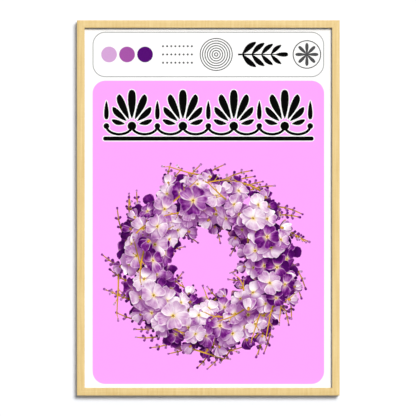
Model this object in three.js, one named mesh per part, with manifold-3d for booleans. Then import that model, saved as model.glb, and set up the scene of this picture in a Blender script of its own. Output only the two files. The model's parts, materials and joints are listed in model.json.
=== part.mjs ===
// A framed poster: a printed sheet behind clear acrylic, in a slim frame of mitred wood that hangs on a wall.
// Millimetres, +Z up. The print faces -Y. The origin is on the wall, behind the middle of the frame.

import * as THREE from "three";
import { mergeVertices } from "three/addons/utils/BufferGeometryUtils.js";
import Module from "manifold-3d";

const wasm = await Module();
wasm.setup();

// The frame and its moulding
const FRAME_WIDTH = 700;
const FRAME_HEIGHT = 1000;
const FACE_WIDTH = 20;
const RAIL_DEPTH = 20;
const LIP_DEPTH = 9;
const REBATE_WIDTH = 6;
const EDGE_RADIUS = 0.8;
const MITRE_GAP = 0.3;

// The sheets in the rebate, from front to back
const SHEET_PLAY = 1;
const GLAZING_THICKNESS = 1.5;
const PRINT_GAP = 0.2;
const PRINT_THICKNESS = 0.3;
const BOARD_THICKNESS = 3;

// The tabs that hold the board in
const TABS_ON_LONG_SIDE = 5;
const TABS_ON_SHORT_SIDE = 3;
const TAB_SPACING = 170;
const TAB_WIDTH = 10;
const TAB_THICKNESS = 0.5;
const TAB_REACH = 14;
const TAB_BITE = 6;
const TAB_POINT_WIDTH = 4;
const TAB_POINT_LENGTH = 3;
const TAB_CORNER_RADIUS = 3;
const TAB_TIP_LENGTH = 4;
const TAB_TIP_LIFT = 1.2;

// The V-shaped nails pressed in across each mitre from behind
const NAIL_INSETS = { outer: 4, inner: 9 };
const NAIL_LEG = 3.2;
const NAIL_THICKNESS = 0.6;
const NAIL_DEPTH = 10;

// The hangers: a strap rolled round a D-shaped wire ring
const HANGER_HEIGHT = 250;
const STRAP_WIDTH = 8;
const STRAP_LENGTH = 36;
const STRAP_THICKNESS = 0.9;
const STRAP_ROLL_SWEEP = THREE.MathUtils.degToRad(262);
const WIRE_RADIUS = 1;
const WIRE_PLAY = 0.25;
const RING_SIDE_PLAY = 0.4;
const RING_BEND_RADIUS = 2;
const RING_LEG = 6;
const RING_BUTT_GAP = 0.4;

// The hanger screws
const SCREW_DROPS = { upper: 20, lower: 30 };
const SCREW_RADIUS = 1.5;
const SCREW_LENGTH = 12;
const SCREW_POINT = 2.5;
const HEAD_RADIUS = 2.9;
const HEAD_HEIGHT = 1.7;
const HEAD_RIM = 0.5;
const DRIVE_SPAN = 3.2;
const DRIVE_SLOT = 0.8;
const DRIVE_DEPTH = 1.1;
const STRAP_HOLE_RADIUS = 1.9;

// The bumpers between the frame's back and the wall
const BUMPER_HEIGHT = 5;
const BUMPER_RADIUS = 5;
const BUMPER_SIDE = 2.5;
const BUMPER_CROWN_RADIUS = 3.6;
const BUMPER_INSET = 35;

// Clearances, and how far a cutting shape runs past what it cuts
const FIT_GAP = 0.3;
const SEAT_GAP = 0.1;
const OVERRUN = 1;

// How finely round forms are divided: steps are for one arc or path, sides for a whole turn
const EDGE_STEPS = 2;
const SHOULDER_STEPS = 3;
const PLAN_STEPS = 6;
const ROLL_STEPS = 10;
const WIRE_STEPS = 6;
const RING_STEPS = 44;
const ROUND_SIDES = 20;

// Finishes
const PALE_WOOD = { color: 0xedd193, roughness: 0.6, metalness: 0 };
const CLEAR_ACRYLIC = { color: 0xffffff, roughness: 0.05, metalness: 0, transparent: true, opacity: 0.12 };
const PRINTED_PAPER = { color: 0xf5d6f2, roughness: 0.55, metalness: 0 };
const HARDBOARD = { color: 0x8f6b47, roughness: 0.85, metalness: 0 };
const SPRING_STEEL = { color: 0x9a9ca0, roughness: 0.4, metalness: 1 };
const NICKELLED_STEEL = { color: 0xc6c7c9, roughness: 0.25, metalness: 1 };
const GREY_RUBBER = { color: 0x6d7075, roughness: 0.8, metalness: 0 };

// Places that follow from the sizes above
const BACK_Y = -BUMPER_HEIGHT;
const FACE_Y = BACK_Y - RAIL_DEPTH;
const WALL_WIDTH = FACE_WIDTH - REBATE_WIDTH;
const SHEET_WIDTH = FRAME_WIDTH - 2 * WALL_WIDTH - 2 * SHEET_PLAY;
const SHEET_HEIGHT = FRAME_HEIGHT - 2 * WALL_WIDTH - 2 * SHEET_PLAY;
const PRINT_DEPTH = LIP_DEPTH + GLAZING_THICKNESS + PRINT_GAP;
const BOARD_DEPTH = PRINT_DEPTH + PRINT_THICKNESS;
const BOARD_BACK = BOARD_DEPTH + BOARD_THICKNESS;
const HANGER_X = FRAME_WIDTH / 2 - WALL_WIDTH / 2;
const PIVOT_OUT = STRAP_THICKNESS + WIRE_PLAY + WIRE_RADIUS;
const X_AXIS = new THREE.Vector3(1, 0, 0);
const Y_AXIS = new THREE.Vector3(0, 1, 0);
const Z_AXIS = new THREE.Vector3(0, 0, 1);

// A closed geometry as a solid that can be cut and joined.
function solidOf(geometry) {
  const bare = geometry.clone();
  bare.deleteAttribute("normal");
  bare.deleteAttribute("uv");
  const merged = mergeVertices(bare);
  return new wasm.Manifold(
    new wasm.Mesh({
      numProp: 3,
      vertProperties: merged.attributes.position.array,
      triVerts: new Uint32Array(merged.index.array),
    }),
  );
}

// A solid's surface as a geometry with flat faces.
function geometryOf(solid) {
  const surface = solid.getMesh();
  const geometry = new THREE.BufferGeometry();
  geometry.setAttribute("position", new THREE.BufferAttribute(surface.vertProperties, 3));
  geometry.setIndex(new THREE.BufferAttribute(surface.triVerts, 1));
  const faceted = geometry.toNonIndexed();
  faceted.computeVertexNormals();
  return faceted;
}

function cutAway(geometry, cutters) {
  let solid = solidOf(geometry);
  for (const cutter of cutters) {
    solid = solid.subtract(solidOf(cutter));
  }
  return geometryOf(solid);
}

// What two outlines share, each extruded across the other.
function crossOf(one, other) {
  return geometryOf(solidOf(one).intersect(solidOf(other)));
}

function piece(name, geometry, finish) {
  const mesh = new THREE.Mesh(geometry, new THREE.MeshStandardMaterial(finish));
  mesh.name = name;
  return mesh;
}

function polygon(points) {
  return new THREE.Shape(points.map(([x, y]) => new THREE.Vector2(x, y)));
}

// A shape drawn in (x, z), as thick as depth, from y = 0 towards -Y.
function plate(shape, depth) {
  const geometry = new THREE.ExtrudeGeometry(shape, {
    depth,
    bevelEnabled: false,
    curveSegments: PLAN_STEPS,
  });
  return geometry.applyMatrix4(
    new THREE.Matrix4().makeBasis(X_AXIS, Z_AXIS, Y_AXIS.clone().negate()),
  );
}

// A side view drawn in (z, y), as wide as width, with its middle on x = 0.
function strip(shape, width) {
  const geometry = new THREE.ExtrudeGeometry(shape, {
    depth: width,
    bevelEnabled: false,
    curveSegments: ROLL_STEPS,
  });
  return geometry
    .applyMatrix4(new THREE.Matrix4().makeBasis(Z_AXIS, Y_AXIS, X_AXIS.clone().negate()))
    .translate(width / 2, 0, 0);
}

// The moulding's section: x runs in from the frame's outer edge, y back from its face.
function mouldingSection() {
  const r = EDGE_RADIUS;
  const section = new THREE.Shape();
  section.moveTo(r, 0);
  section.lineTo(FACE_WIDTH - r, 0);
  section.absarc(FACE_WIDTH - r, r, r, -Math.PI / 2, 0);
  section.lineTo(FACE_WIDTH, LIP_DEPTH);
  section.lineTo(WALL_WIDTH, LIP_DEPTH);
  section.lineTo(WALL_WIDTH, RAIL_DEPTH);
  section.lineTo(r, RAIL_DEPTH);
  section.absarc(r, RAIL_DEPTH - r, r, Math.PI / 2, Math.PI);
  section.lineTo(0, r);
  section.absarc(r, r, r, Math.PI, 1.5 * Math.PI);
  return section;
}

// A rail lies along x, with its face at y = 0 and its outer edge at z = 0. Both ends are mitred.
function rail(length, cutters) {
  const geometry = new THREE.ExtrudeGeometry(mouldingSection(), {
    depth: 1,
    bevelEnabled: false,
    curveSegments: EDGE_STEPS,
  });
  const points = geometry.attributes.position;
  const setBack = MITRE_GAP / Math.SQRT2;
  for (let i = 0; i < points.count; i++) {
    const end = points.getZ(i) > 0 ? 1 : -1;
    points.setZ(i, end * (length / 2 - points.getX(i) - setBack));
  }
  geometry.applyMatrix4(
    new THREE.Matrix4().makeBasis(Z_AXIS.clone().negate(), Y_AXIS, X_AXIS),
  );
  return cutAway(geometry, cutters);
}

// A spring-steel tab: z = 0 is the rebate wall it is driven into, y = 0 the back of the board it holds.
function retainerTab() {
  const bend = TAB_TIP_LENGTH - TAB_REACH;
  const side = polygon([
    [TAB_BITE, SEAT_GAP],
    [TAB_BITE, SEAT_GAP + TAB_THICKNESS],
    [bend, SEAT_GAP + TAB_THICKNESS],
    [-TAB_REACH, SEAT_GAP + TAB_THICKNESS + TAB_TIP_LIFT],
    [-TAB_REACH, SEAT_GAP + TAB_TIP_LIFT],
    [bend, SEAT_GAP],
  ]);
  const half = TAB_WIDTH / 2;
  const r = TAB_CORNER_RADIUS;
  const plan = new THREE.Shape();
  plan.moveTo(half, r - TAB_REACH);
  plan.lineTo(half, TAB_BITE - TAB_POINT_LENGTH);
  plan.lineTo(TAB_POINT_WIDTH / 2, TAB_BITE);
  plan.lineTo(-TAB_POINT_WIDTH / 2, TAB_BITE);
  plan.lineTo(-half, TAB_BITE - TAB_POINT_LENGTH);
  plan.lineTo(-half, r - TAB_REACH);
  plan.absarc(r - half, r - TAB_REACH, r, Math.PI, 1.5 * Math.PI);
  plan.absarc(half - r, r - TAB_REACH, r, 1.5 * Math.PI, 2 * Math.PI);
  const top = SEAT_GAP + TAB_THICKNESS + TAB_TIP_LIFT + OVERRUN;
  return crossOf(
    strip(side, TAB_WIDTH + OVERRUN),
    plate(plan, top + OVERRUN).translate(0, top, 0),
  );
}

// The slot that a tab is driven into, from just outside the rebate wall.
function tabSlot(x) {
  const depth = TAB_BITE + 2 * FIT_GAP;
  return new THREE.BoxGeometry(
    TAB_WIDTH + 2 * FIT_GAP,
    TAB_THICKNESS + 2 * FIT_GAP,
    depth,
  ).translate(x, BOARD_BACK + SEAT_GAP + TAB_THICKNESS / 2, depth / 2 - FIT_GAP - WALL_WIDTH);
}

// A V-shaped nail, its point on the mitre at the origin and a leg in each rail. grow widens it all round.
function cornerNail(grow) {
  const h = NAIL_THICKNESS / 2 + grow;
  const leg = NAIL_LEG + grow;
  const outline = polygon([
    [-h, h],
    [leg, h],
    [leg, -h],
    [h, -h],
    [h, -leg],
    [-h, -leg],
  ]);
  return plate(outline, NAIL_DEPTH + 2 * grow).translate(0, grow, 0);
}

// The nails' slots at one end of a rail: end is -1 or 1.
function nailSlots(length, end) {
  return Object.values(NAIL_INSETS).map((inset) => {
    const slot = cornerNail(FIT_GAP);
    slot.rotateY(end > 0 ? Math.PI / 2 : 0);
    return slot.translate(end * (length / 2 - inset), RAIL_DEPTH, -inset);
  });
}

// A screw hole in the back of a rail, at x along it.
function pilotHole(x) {
  const depth = SCREW_LENGTH + OVERRUN;
  const radius = SCREW_RADIUS + FIT_GAP;
  return new THREE.CylinderGeometry(radius, radius, depth, ROUND_SIDES).translate(
    x,
    RAIL_DEPTH + OVERRUN - depth / 2,
    -WALL_WIDTH / 2,
  );
}

// One side of the frame, built as the top side and turned about Y to its place.
function frameSide({ side, corner, quarter, length, reach, tabs, pilots }) {
  const group = new THREE.Group();
  group.rotation.y = (quarter * Math.PI) / 2;
  group.translateZ(reach);
  group.position.y = FACE_Y;

  const tabPlaces = Array.from({ length: tabs }, (_, i) => (i - (tabs - 1) / 2) * TAB_SPACING);
  const cutters = [
    ...tabPlaces.map(tabSlot),
    ...nailSlots(length, -1),
    ...nailSlots(length, 1),
    ...pilots.map(pilotHole),
  ];
  group.add(piece(`rail_${side}`, rail(length, cutters), PALE_WOOD));

  tabPlaces.forEach((x, i) => {
    const tab = piece(`retainer_tab_${side}_${i + 1}`, retainerTab(), SPRING_STEEL);
    tab.position.set(x, BOARD_BACK, -WALL_WIDTH);
    group.add(tab);
  });

  for (const [place, inset] of Object.entries(NAIL_INSETS)) {
    const nail = piece(`corner_nail_${corner}_${place}`, cornerNail(0), SPRING_STEEL);
    nail.position.set(inset - length / 2, RAIL_DEPTH, -inset);
    group.add(nail);
  }
  return group;
}

function sheet(name, depth, thickness, finish) {
  const mesh = piece(name, new THREE.BoxGeometry(SHEET_WIDTH, thickness, SHEET_HEIGHT), finish);
  mesh.position.y = FACE_Y + depth + thickness / 2;
  return mesh;
}

// The strap, seen from the side: a flat plate whose top is rolled round the ring's wire.
function strapSide() {
  const inner = WIRE_RADIUS + WIRE_PLAY;
  const outer = inner + STRAP_THICKNESS;
  const start = -Math.PI / 2;
  const side = new THREE.Shape();
  side.moveTo(-STRAP_LENGTH, 0);
  side.lineTo(0, 0);
  side.absarc(0, PIVOT_OUT, outer, start, start + STRAP_ROLL_SWEEP);
  side.absarc(0, PIVOT_OUT, inner, start + STRAP_ROLL_SWEEP, start, true);
  side.lineTo(-STRAP_LENGTH, STRAP_THICKNESS);
  return side;
}

// The strap from behind: y = 0 lies on the rail, and the ring's pivot is at z = 0.
function hangerStrap() {
  const half = STRAP_WIDTH / 2;
  const plan = new THREE.Shape();
  plan.moveTo(half, PIVOT_OUT + STRAP_THICKNESS);
  plan.lineTo(-half, PIVOT_OUT + STRAP_THICKNESS);
  plan.lineTo(-half, half - STRAP_LENGTH);
  plan.absarc(0, half - STRAP_LENGTH, half, Math.PI, 2 * Math.PI);
  for (const drop of Object.values(SCREW_DROPS)) {
    const hole = new THREE.Path();
    hole.absarc(0, -drop, STRAP_HOLE_RADIUS, 0, 2 * Math.PI, true);
    plan.holes.push(hole);
  }
  const top = 2 * PIVOT_OUT + OVERRUN;
  return crossOf(
    strip(strapSide(), STRAP_WIDTH + OVERRUN),
    plate(plan, top + OVERRUN).translate(0, top, 0),
  );
}

// The middle line of the ring's wire, which starts and ends in the middle of its straight bar.
class RingLine extends THREE.Curve {
  constructor() {
    super();
    const bow = STRAP_WIDTH / 2 + RING_SIDE_PLAY + WIRE_RADIUS;
    const r = RING_BEND_RADIUS;
    this.outline = new THREE.Path();
    this.outline.moveTo(RING_BUTT_GAP / 2, 0);
    this.outline.lineTo(bow - r, 0);
    this.outline.absarc(bow - r, -r, r, Math.PI / 2, 0, true);
    this.outline.lineTo(bow, -RING_LEG);
    this.outline.absarc(0, -RING_LEG, bow, 0, -Math.PI, true);
    this.outline.lineTo(-bow, -r);
    this.outline.absarc(r - bow, -r, r, Math.PI, Math.PI / 2, true);
    this.outline.lineTo(-RING_BUTT_GAP / 2, 0);
  }

  getPoint(t, target = new THREE.Vector3()) {
    const point = this.outline.getPointAt(t);
    return target.set(point.x, 0, point.y);
  }
}

function hangerRing() {
  const section = new THREE.Shape();
  section.absarc(0, 0, WIRE_RADIUS, 0, 2 * Math.PI);
  return new THREE.ExtrudeGeometry(section, {
    extrudePath: new RingLine(),
    steps: RING_STEPS,
    curveSegments: WIRE_STEPS,
  });
}

// A turned piece along y, from its profile in (radius, y).
function turned(profile) {
  const points = profile.map(([radius, y]) => new THREE.Vector2(radius, y));
  return new THREE.LatheGeometry(points, ROUND_SIDES);
}

// The rounded shoulder of a profile: a quarter of an ellipse that goes in and up from (radius, y).
function shoulder(radius, y, inward, rise) {
  return Array.from({ length: SHOULDER_STEPS + 1 }, (_, i) => {
    const turn = (i / SHOULDER_STEPS) * (Math.PI / 2);
    return [radius - inward * (1 - Math.cos(turn)), y + rise * Math.sin(turn)];
  });
}

// A round-headed screw along y: its head stands out from y = 0, with a cross recess for the driver.
function hangerScrew() {
  const body = turned([
    [0, -SCREW_LENGTH],
    [SCREW_RADIUS, SCREW_POINT - SCREW_LENGTH],
    [SCREW_RADIUS, 0],
    [HEAD_RADIUS, 0],
    ...shoulder(HEAD_RADIUS, HEAD_RIM, HEAD_RADIUS, HEAD_HEIGHT - HEAD_RIM),
  ]);
  const slots = [0, Math.PI / 2].map((turn) =>
    new THREE.BoxGeometry(DRIVE_SPAN, 2 * DRIVE_DEPTH, DRIVE_SLOT)
      .rotateY(turn)
      .translate(0, HEAD_HEIGHT, 0),
  );
  return cutAway(body, slots);
}

// A hanger on the back of one side rail: side is -1 on the left and 1 on the right.
function hanger(name, side) {
  const group = new THREE.Group();
  group.position.set(side * HANGER_X, BACK_Y, HANGER_HEIGHT);
  group.add(piece(`hanger_strap_${name}`, hangerStrap(), NICKELLED_STEEL));

  const ring = piece(`hanger_ring_${name}`, hangerRing(), NICKELLED_STEEL);
  ring.position.y = PIVOT_OUT;
  group.add(ring);

  for (const [place, drop] of Object.entries(SCREW_DROPS)) {
    const screw = piece(`hanger_screw_${name}_${place}`, hangerScrew(), NICKELLED_STEEL);
    screw.position.set(0, STRAP_THICKNESS + SEAT_GAP, -drop);
    group.add(screw);
  }
  return group;
}

// A bumper along y, its foot on the rail at y = 0.
function wallBumper() {
  return turned([
    [0, 0],
    [BUMPER_RADIUS, 0],
    ...shoulder(
      BUMPER_RADIUS,
      BUMPER_SIDE,
      BUMPER_RADIUS - BUMPER_CROWN_RADIUS,
      BUMPER_HEIGHT - BUMPER_SIDE,
    ),
    [0, BUMPER_HEIGHT],
  ]);
}

// The whole poster
const poster = new THREE.Group();
const pilotHeights = Object.values(SCREW_DROPS).map((drop) => HANGER_HEIGHT - drop);
const longSide = { length: FRAME_HEIGHT, reach: FRAME_WIDTH / 2, tabs: TABS_ON_LONG_SIDE };
const shortSide = { length: FRAME_WIDTH, reach: FRAME_HEIGHT / 2, tabs: TABS_ON_SHORT_SIDE, pilots: [] };
const sides = [
  { ...shortSide, side: "top", corner: "top_left", quarter: 0 },
  { ...longSide, side: "right", corner: "top_right", quarter: 1, pilots: pilotHeights.map((z) => -z) },
  { ...shortSide, side: "bottom", corner: "bottom_right", quarter: 2 },
  { ...longSide, side: "left", corner: "bottom_left", quarter: 3, pilots: pilotHeights },
];
for (const side of sides) {
  poster.add(frameSide(side));
}

poster.add(sheet("glazing_pane", LIP_DEPTH, GLAZING_THICKNESS, CLEAR_ACRYLIC));
poster.add(sheet("print_sheet", PRINT_DEPTH, PRINT_THICKNESS, PRINTED_PAPER));
poster.add(sheet("backing_board", BOARD_DEPTH, BOARD_THICKNESS, HARDBOARD));

for (const [name, side] of Object.entries({ left: -1, right: 1 })) {
  poster.add(hanger(name, side));
  for (const [level, up] of Object.entries({ bottom: -1, top: 1 })) {
    const bumper = piece(`wall_bumper_${level}_${name}`, wallBumper(), GREY_RUBBER);
    bumper.position.set(side * HANGER_X, BACK_Y, up * (FRAME_HEIGHT / 2 - BUMPER_INSET));
    poster.add(bumper);
  }
}

export default poster;
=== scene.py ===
# A framed poster: mitred pale wood, clear acrylic, a printed sheet, hardboard, and the hardware behind.
# Metres, +Z up. The print faces -Y, and the wall that the poster hangs on is the plane y = 0.

import json
import math
import random
from collections import namedtuple

import bmesh
import bpy
import numpy as np
from bpy.props import FloatProperty, FloatVectorProperty, IntProperty, PointerProperty
from mathutils import Matrix, Vector
from mathutils.geometry import delaunay_2d_cdt


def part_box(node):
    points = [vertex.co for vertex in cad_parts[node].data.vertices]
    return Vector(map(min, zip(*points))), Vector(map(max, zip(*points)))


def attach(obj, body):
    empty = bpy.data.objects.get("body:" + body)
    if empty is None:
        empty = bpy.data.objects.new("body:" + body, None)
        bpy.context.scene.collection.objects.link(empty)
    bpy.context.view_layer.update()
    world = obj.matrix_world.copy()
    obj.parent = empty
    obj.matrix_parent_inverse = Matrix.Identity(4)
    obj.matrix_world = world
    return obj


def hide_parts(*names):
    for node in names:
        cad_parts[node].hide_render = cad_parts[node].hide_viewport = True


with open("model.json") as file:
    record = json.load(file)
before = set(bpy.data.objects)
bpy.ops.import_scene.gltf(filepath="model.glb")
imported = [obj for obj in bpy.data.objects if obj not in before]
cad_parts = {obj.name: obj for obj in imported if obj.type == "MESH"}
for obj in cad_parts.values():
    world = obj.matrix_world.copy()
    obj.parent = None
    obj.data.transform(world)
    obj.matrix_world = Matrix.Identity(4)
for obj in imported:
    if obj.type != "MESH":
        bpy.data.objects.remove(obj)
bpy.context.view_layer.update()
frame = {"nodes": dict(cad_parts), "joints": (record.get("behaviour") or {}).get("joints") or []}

bl_info = {
    "name": "Framed Poster",
    "version": (1, 0, 0),
    "blender": (4, 5, 0),
    "location": "3D View > Sidebar > Poster",
    "description": "Builds a framed poster piece by piece round its packed frame",
    "category": "Object",
}

MM = 0.001
UP = Vector((0, 0, 1))
RIGHT = Vector((1, 0, 0))
BACKWARDS = Vector((0, 1, 0))

# The way each side of the frame faces, and how many tabs it carries
OUTWARDS = {"top": UP, "right": RIGHT, "bottom": -UP, "left": -RIGHT}
TAB_COUNTS = {"top": 3, "right": 5, "bottom": 3, "left": 5}
CORNERS = (("top", "left"), ("top", "right"), ("bottom", "right"), ("bottom", "left"))
HANDS = ("left", "right")
LEVELS = ("upper", "lower")


# What the frame gives


RAIL_BOXES = [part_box(f"rail_{side}") for side in OUTWARDS]
FRAME_LOW = Vector(min(low[axis] for low, high in RAIL_BOXES) for axis in range(3))
FRAME_HIGH = Vector(max(high[axis] for low, high in RAIL_BOXES) for axis in range(3))
FACE_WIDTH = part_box("rail_left")[1].x - FRAME_LOW.x
PANE_LOW, PANE_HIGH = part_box("glazing_pane")
SHEET_LOW, SHEET_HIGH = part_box("print_sheet")
SHEET_PLAY = 1 * MM


def reach_of(corner, way):
    """How far a high corner is from the middle of the frame, along a direction or against it."""
    return corner.dot(Vector(abs(part) for part in way))


def wall_of(side):
    """How far a side's rebate wall is from the middle of the frame."""
    return reach_of(PANE_HIGH, OUTWARDS[side]) + SHEET_PLAY


def along_of(side):
    """The direction along a side, to the right as seen from the front with the side on top."""
    return BACKWARDS.cross(OUTWARDS[side])


def pivot_of(hand):
    """The middle of a ring's hinge."""
    return Vector(next(joint["pos_m"] for joint in frame["joints"] if joint["child"] == f"ring_{hand}"))


# Sizes and colours that a user may change


def linear(code):
    """The linear red, green and blue of an sRGB hex code."""
    values = (int(code[i : i + 2], 16) / 255 for i in (1, 3, 5))
    return tuple(v / 12.92 if v <= 0.04045 else ((v + 0.055) / 1.055) ** 2.4 for v in values)


def colour(name, description, code):
    """A colour setting whose default is an sRGB hex code."""
    return FloatVectorProperty(
        name=name, description=description, default=linear(code), min=0, max=1, subtype="COLOR"
    )


def length(name, description, millimetres):
    """A length setting whose default is in millimetres."""
    default, units = millimetres * MM, {"subtype": "DISTANCE", "unit": "LENGTH"}
    return FloatProperty(name=name, description=description, default=default, min=0, precision=5, **units)


class RailSettings(bpy.types.PropertyGroup):
    """The wooden moulding."""

    early_wood: colour("Early wood", "The pale wood between the growth lines", "#DDC58D")
    late_wood: colour("Late wood", "The darker growth lines", "#CAAB6C")
    edge_radius: length("Edge radius", "How round the moulding's long edges are", 0.8)
    arris: length("Arris", "How far the mitred edges are eased by sanding", 0.06)
    mitre_gap: length("Mitre gap", "The open line between two rails at a corner", 0.03)
    slot_play: length("Slot play", "The room round each tab and nail in the wood", 0.3)


class PrintSettings(bpy.types.PropertyGroup):
    """The printed sheet."""

    paper: colour("Paper", "Bright white coated paper", "#F4F4F4")
    panel: colour("Panel", "The pink of the large panel", "#F2A2F2")
    black: colour("Black", "The black ink", "#020202")
    lilac: colour("Lilac", "The light spot colour", "#CDA0D0")
    violet: colour("Violet", "The dark spot colour", "#A052A2")
    purple: colour("Purple", "The deepest spot colour", "#520A70")
    hairline: colour("Hairline", "The grey of thin outlines", "#A2A3A5")
    side_margin: length("Side margin", "White from the frame's lip to the design", 21)
    end_margin: length("End margin", "White above and below the design", 10)
    strip_height: length("Strip height", "The outlined strip along the top", 121)
    strip_gap: length("Strip gap", "White between the strip and the panel", 9.5)
    corner_radius: length("Corner radius", "The round corners of strip and panel", 34)
    seed: IntProperty(name="Seed", description="Which random wreath is drawn", default=7, min=0)
    blossoms: IntProperty(name="Blossoms", description="How many open flowers", default=74, min=1)
    twigs: IntProperty(name="Twigs", description="How many twigs stand out", default=44, min=0)


class HardwareSettings(bpy.types.PropertyGroup):
    """The tabs, nails, hangers, screws and bumpers."""

    spring_steel: colour("Spring steel", "Bare hardened strip", "#8F9196")
    nickel: colour("Nickel", "Bright plating with a warm cast", "#CFCBC2")
    rubber: colour("Rubber", "Moulded grey bumpers", "#6D7075")
    hardboard: colour("Hardboard", "Pressed brown wood fibre", "#8F7153")
    softness: length("Softness", "How far the straps' stamped edges are rounded", 0.12)


class StageSettings(bpy.types.PropertyGroup):
    """The camera, the light and the wall behind."""

    wall: colour("Wall", "Plain white wall, slightly cool", "#E5E7EC")
    floor: colour("Floor", "Plain floor, pale enough to melt into the white round it", "#FBFBFB")
    focal_length: FloatProperty(
        name="Focal length",
        description="A long lens, since the photo shows no sides",
        default=200,
        min=1,
        subtype="DISTANCE_CAMERA",
        unit="CAMERA",
    )
    view_width: length("View width", "What the picture takes in, at the frame's face", 1108.4)
    key: FloatProperty(name="Key light", description="Strength of the soft key", default=3.78, min=0)
    back: FloatProperty(name="Back light", description="Strength behind the frame", default=2.3, min=0)
    ambient: FloatProperty(name="Ambient", description="Light from all round", default=0.34, min=0)
    key_tint: colour("Key tint", "A slightly warm key", "#FFFDF9")
    fill_tint: colour("Fill tint", "A slightly cool fill, which greys the shadows by the wood", "#F0F6FF")


class PosterSettings(bpy.types.PropertyGroup):
    """Every setting of the poster."""

    rails: PointerProperty(type=RailSettings)
    sheet: PointerProperty(type=PrintSettings)
    hardware: PointerProperty(type=HardwareSettings)
    stage: PointerProperty(type=StageSettings)


def settings():
    return bpy.context.scene.framed_poster


# Modelling by hand, in code


# Points nearer than TOUCHING are one, and a place is found within NEAR
TOUCHING = 0.001 * MM
NEAR = 0.1 * MM
# A face looks along a direction when more than this share of its normal lies that way
FACING = 0.9
# Cutting can leave a slit of up to this many sides
SLIT_SIDES = 8


def begin(primitive, **placing):
    """Add a primitive with nothing else selected, put its place in its mesh and open it for editing."""
    bpy.ops.object.select_all(action="DESELECT")
    primitive(**placing)
    bpy.ops.object.transform_apply(location=True, rotation=True, scale=True)
    bpy.ops.object.mode_set(mode="EDIT")


def begin_box(middle, size, turn=0):
    """Begin a box that is turned about Y."""
    begin(bpy.ops.mesh.primitive_cube_add, size=1, location=middle, scale=size, rotation=(0, turn, 0))


def begin_rod(middle, radius, depth, sides):
    """Begin a cylinder along Y."""
    shape = {"vertices": sides, "radius": radius, "depth": depth}
    begin(bpy.ops.mesh.primitive_cylinder_add, location=middle, rotation=(math.pi / 2, 0, 0), **shape)


def pick(kind, test):
    """Select the vertices, edges or faces of the mesh being edited that pass a test, and no others."""
    bpy.ops.mesh.select_mode(type=kind)
    bpy.ops.mesh.select_all(action="DESELECT")
    mesh = bmesh.from_edit_mesh(bpy.context.object.data)
    for element in {"VERT": mesh.verts, "EDGE": mesh.edges, "FACE": mesh.faces}[kind]:
        if test(element):
            element.select_set(True)
    mesh.select_flush_mode()
    bmesh.update_edit_mesh(bpy.context.object.data)


def pick_facing(way, test=lambda face: True):
    """Select the faces that look along a direction and pass a test, and no others."""
    pick("FACE", lambda face: face.normal.dot(way) > FACING and test(face))


def lies_at(edge, way, distance):
    """Whether both ends of an edge are at a distance from the origin along a direction."""
    return all(abs(vert.co.dot(way) - distance) < NEAR for vert in edge.verts)


def is_end_corner(edge, height):
    """Whether an edge is at a height and no longer than sheet metal is thick: a corner of a plate's end."""
    return lies_at(edge, UP, height) and edge.calc_length() < MM


def cut(point, normal, remove=False):
    """Cut the whole mesh being edited along a plane, and remove what lies beyond it if asked."""
    bpy.ops.mesh.select_all(action="SELECT")
    bpy.ops.mesh.bisect(plane_co=point, plane_no=normal, use_fill=remove, clear_outer=remove)


def push(vector):
    """Extrude what is selected by a vector."""
    bpy.ops.mesh.extrude_region_move(TRANSFORM_OT_translate={"value": tuple(vector)})


def scale_by(factors, centre=(0, 0, 0)):
    """Scale what is selected about a point."""
    bpy.ops.transform.resize(value=factors, center_override=centre)


def round_off(radius, segments):
    """Round the selected edges."""
    bpy.ops.mesh.bevel(offset=radius, offset_type="OFFSET", segments=segments)


def turn_about(centre, axis, degrees, steps):
    """Sweep the selected end face round an axis, right-handed, which takes spin a negative angle."""
    bpy.ops.mesh.spin(steps=steps, angle=-math.radians(degrees), center=centre, axis=axis)


def crown(radius, inward, rise, steps):
    """Raise the selected round end, on the Y axis and facing back, along a quarter of an ellipse."""
    reached = radius
    for step in range(steps):
        before, after = ((step + k) / steps * math.pi / 2 for k in (0, 1))
        push(rise * (math.sin(after) - math.sin(before)) * BACKWARDS)
        narrowed = radius - inward * (1 - math.cos(after))
        if narrowed < TOUCHING:
            bpy.ops.mesh.merge(type="CENTER")
            return
        scale_by((narrowed / reached, 1, narrowed / reached))
        reached = narrowed


def smooth(degrees):
    """Shade the selected piece smooth, except at edges sharper than an angle."""
    bpy.ops.object.shade_smooth_by_angle(angle=math.radians(degrees))


def finish_edit(name, sharp_angle=30):
    """Leave edit mode with the faces turned outwards, and name and smooth the piece."""
    bpy.ops.mesh.select_all(action="SELECT")
    bpy.ops.mesh.remove_doubles(threshold=TOUCHING)
    bpy.ops.mesh.normals_make_consistent(inside=False)
    bpy.ops.object.mode_set(mode="OBJECT")
    piece = bpy.context.object
    piece.name = name
    piece.data.name = name
    smooth(sharp_angle)
    return piece


def select_only(piece):
    """Select a piece and nothing else."""
    bpy.ops.object.select_all(action="DESELECT")
    piece.select_set(True)
    bpy.context.view_layer.objects.active = piece


def modify(piece, kind, **values):
    """Add a modifier to a piece and apply it at once."""
    select_only(piece)
    modifier = piece.modifiers.new(kind.title(), kind)
    for name, value in values.items():
        setattr(modifier, name, value)
    bpy.ops.object.modifier_apply(modifier=modifier.name)


def carve(piece, cutters):
    """Take the cutters' shapes out of a piece, and remove the cutters."""
    for cutter in cutters:
        modify(piece, "BOOLEAN", operation="DIFFERENCE", solver="EXACT", object=cutter)
        bpy.data.objects.remove(cutter)


def soften(piece, width):
    """Round a piece's sharp edges a little."""
    modify(piece, "BEVEL", width=width, segments=2, limit_method="ANGLE", angle_limit=math.radians(35))


def block(low, high):
    """A box-shaped cutter between two corners."""
    begin_box((low + high) / 2, high - low)
    return finish_edit("cutter")


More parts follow.
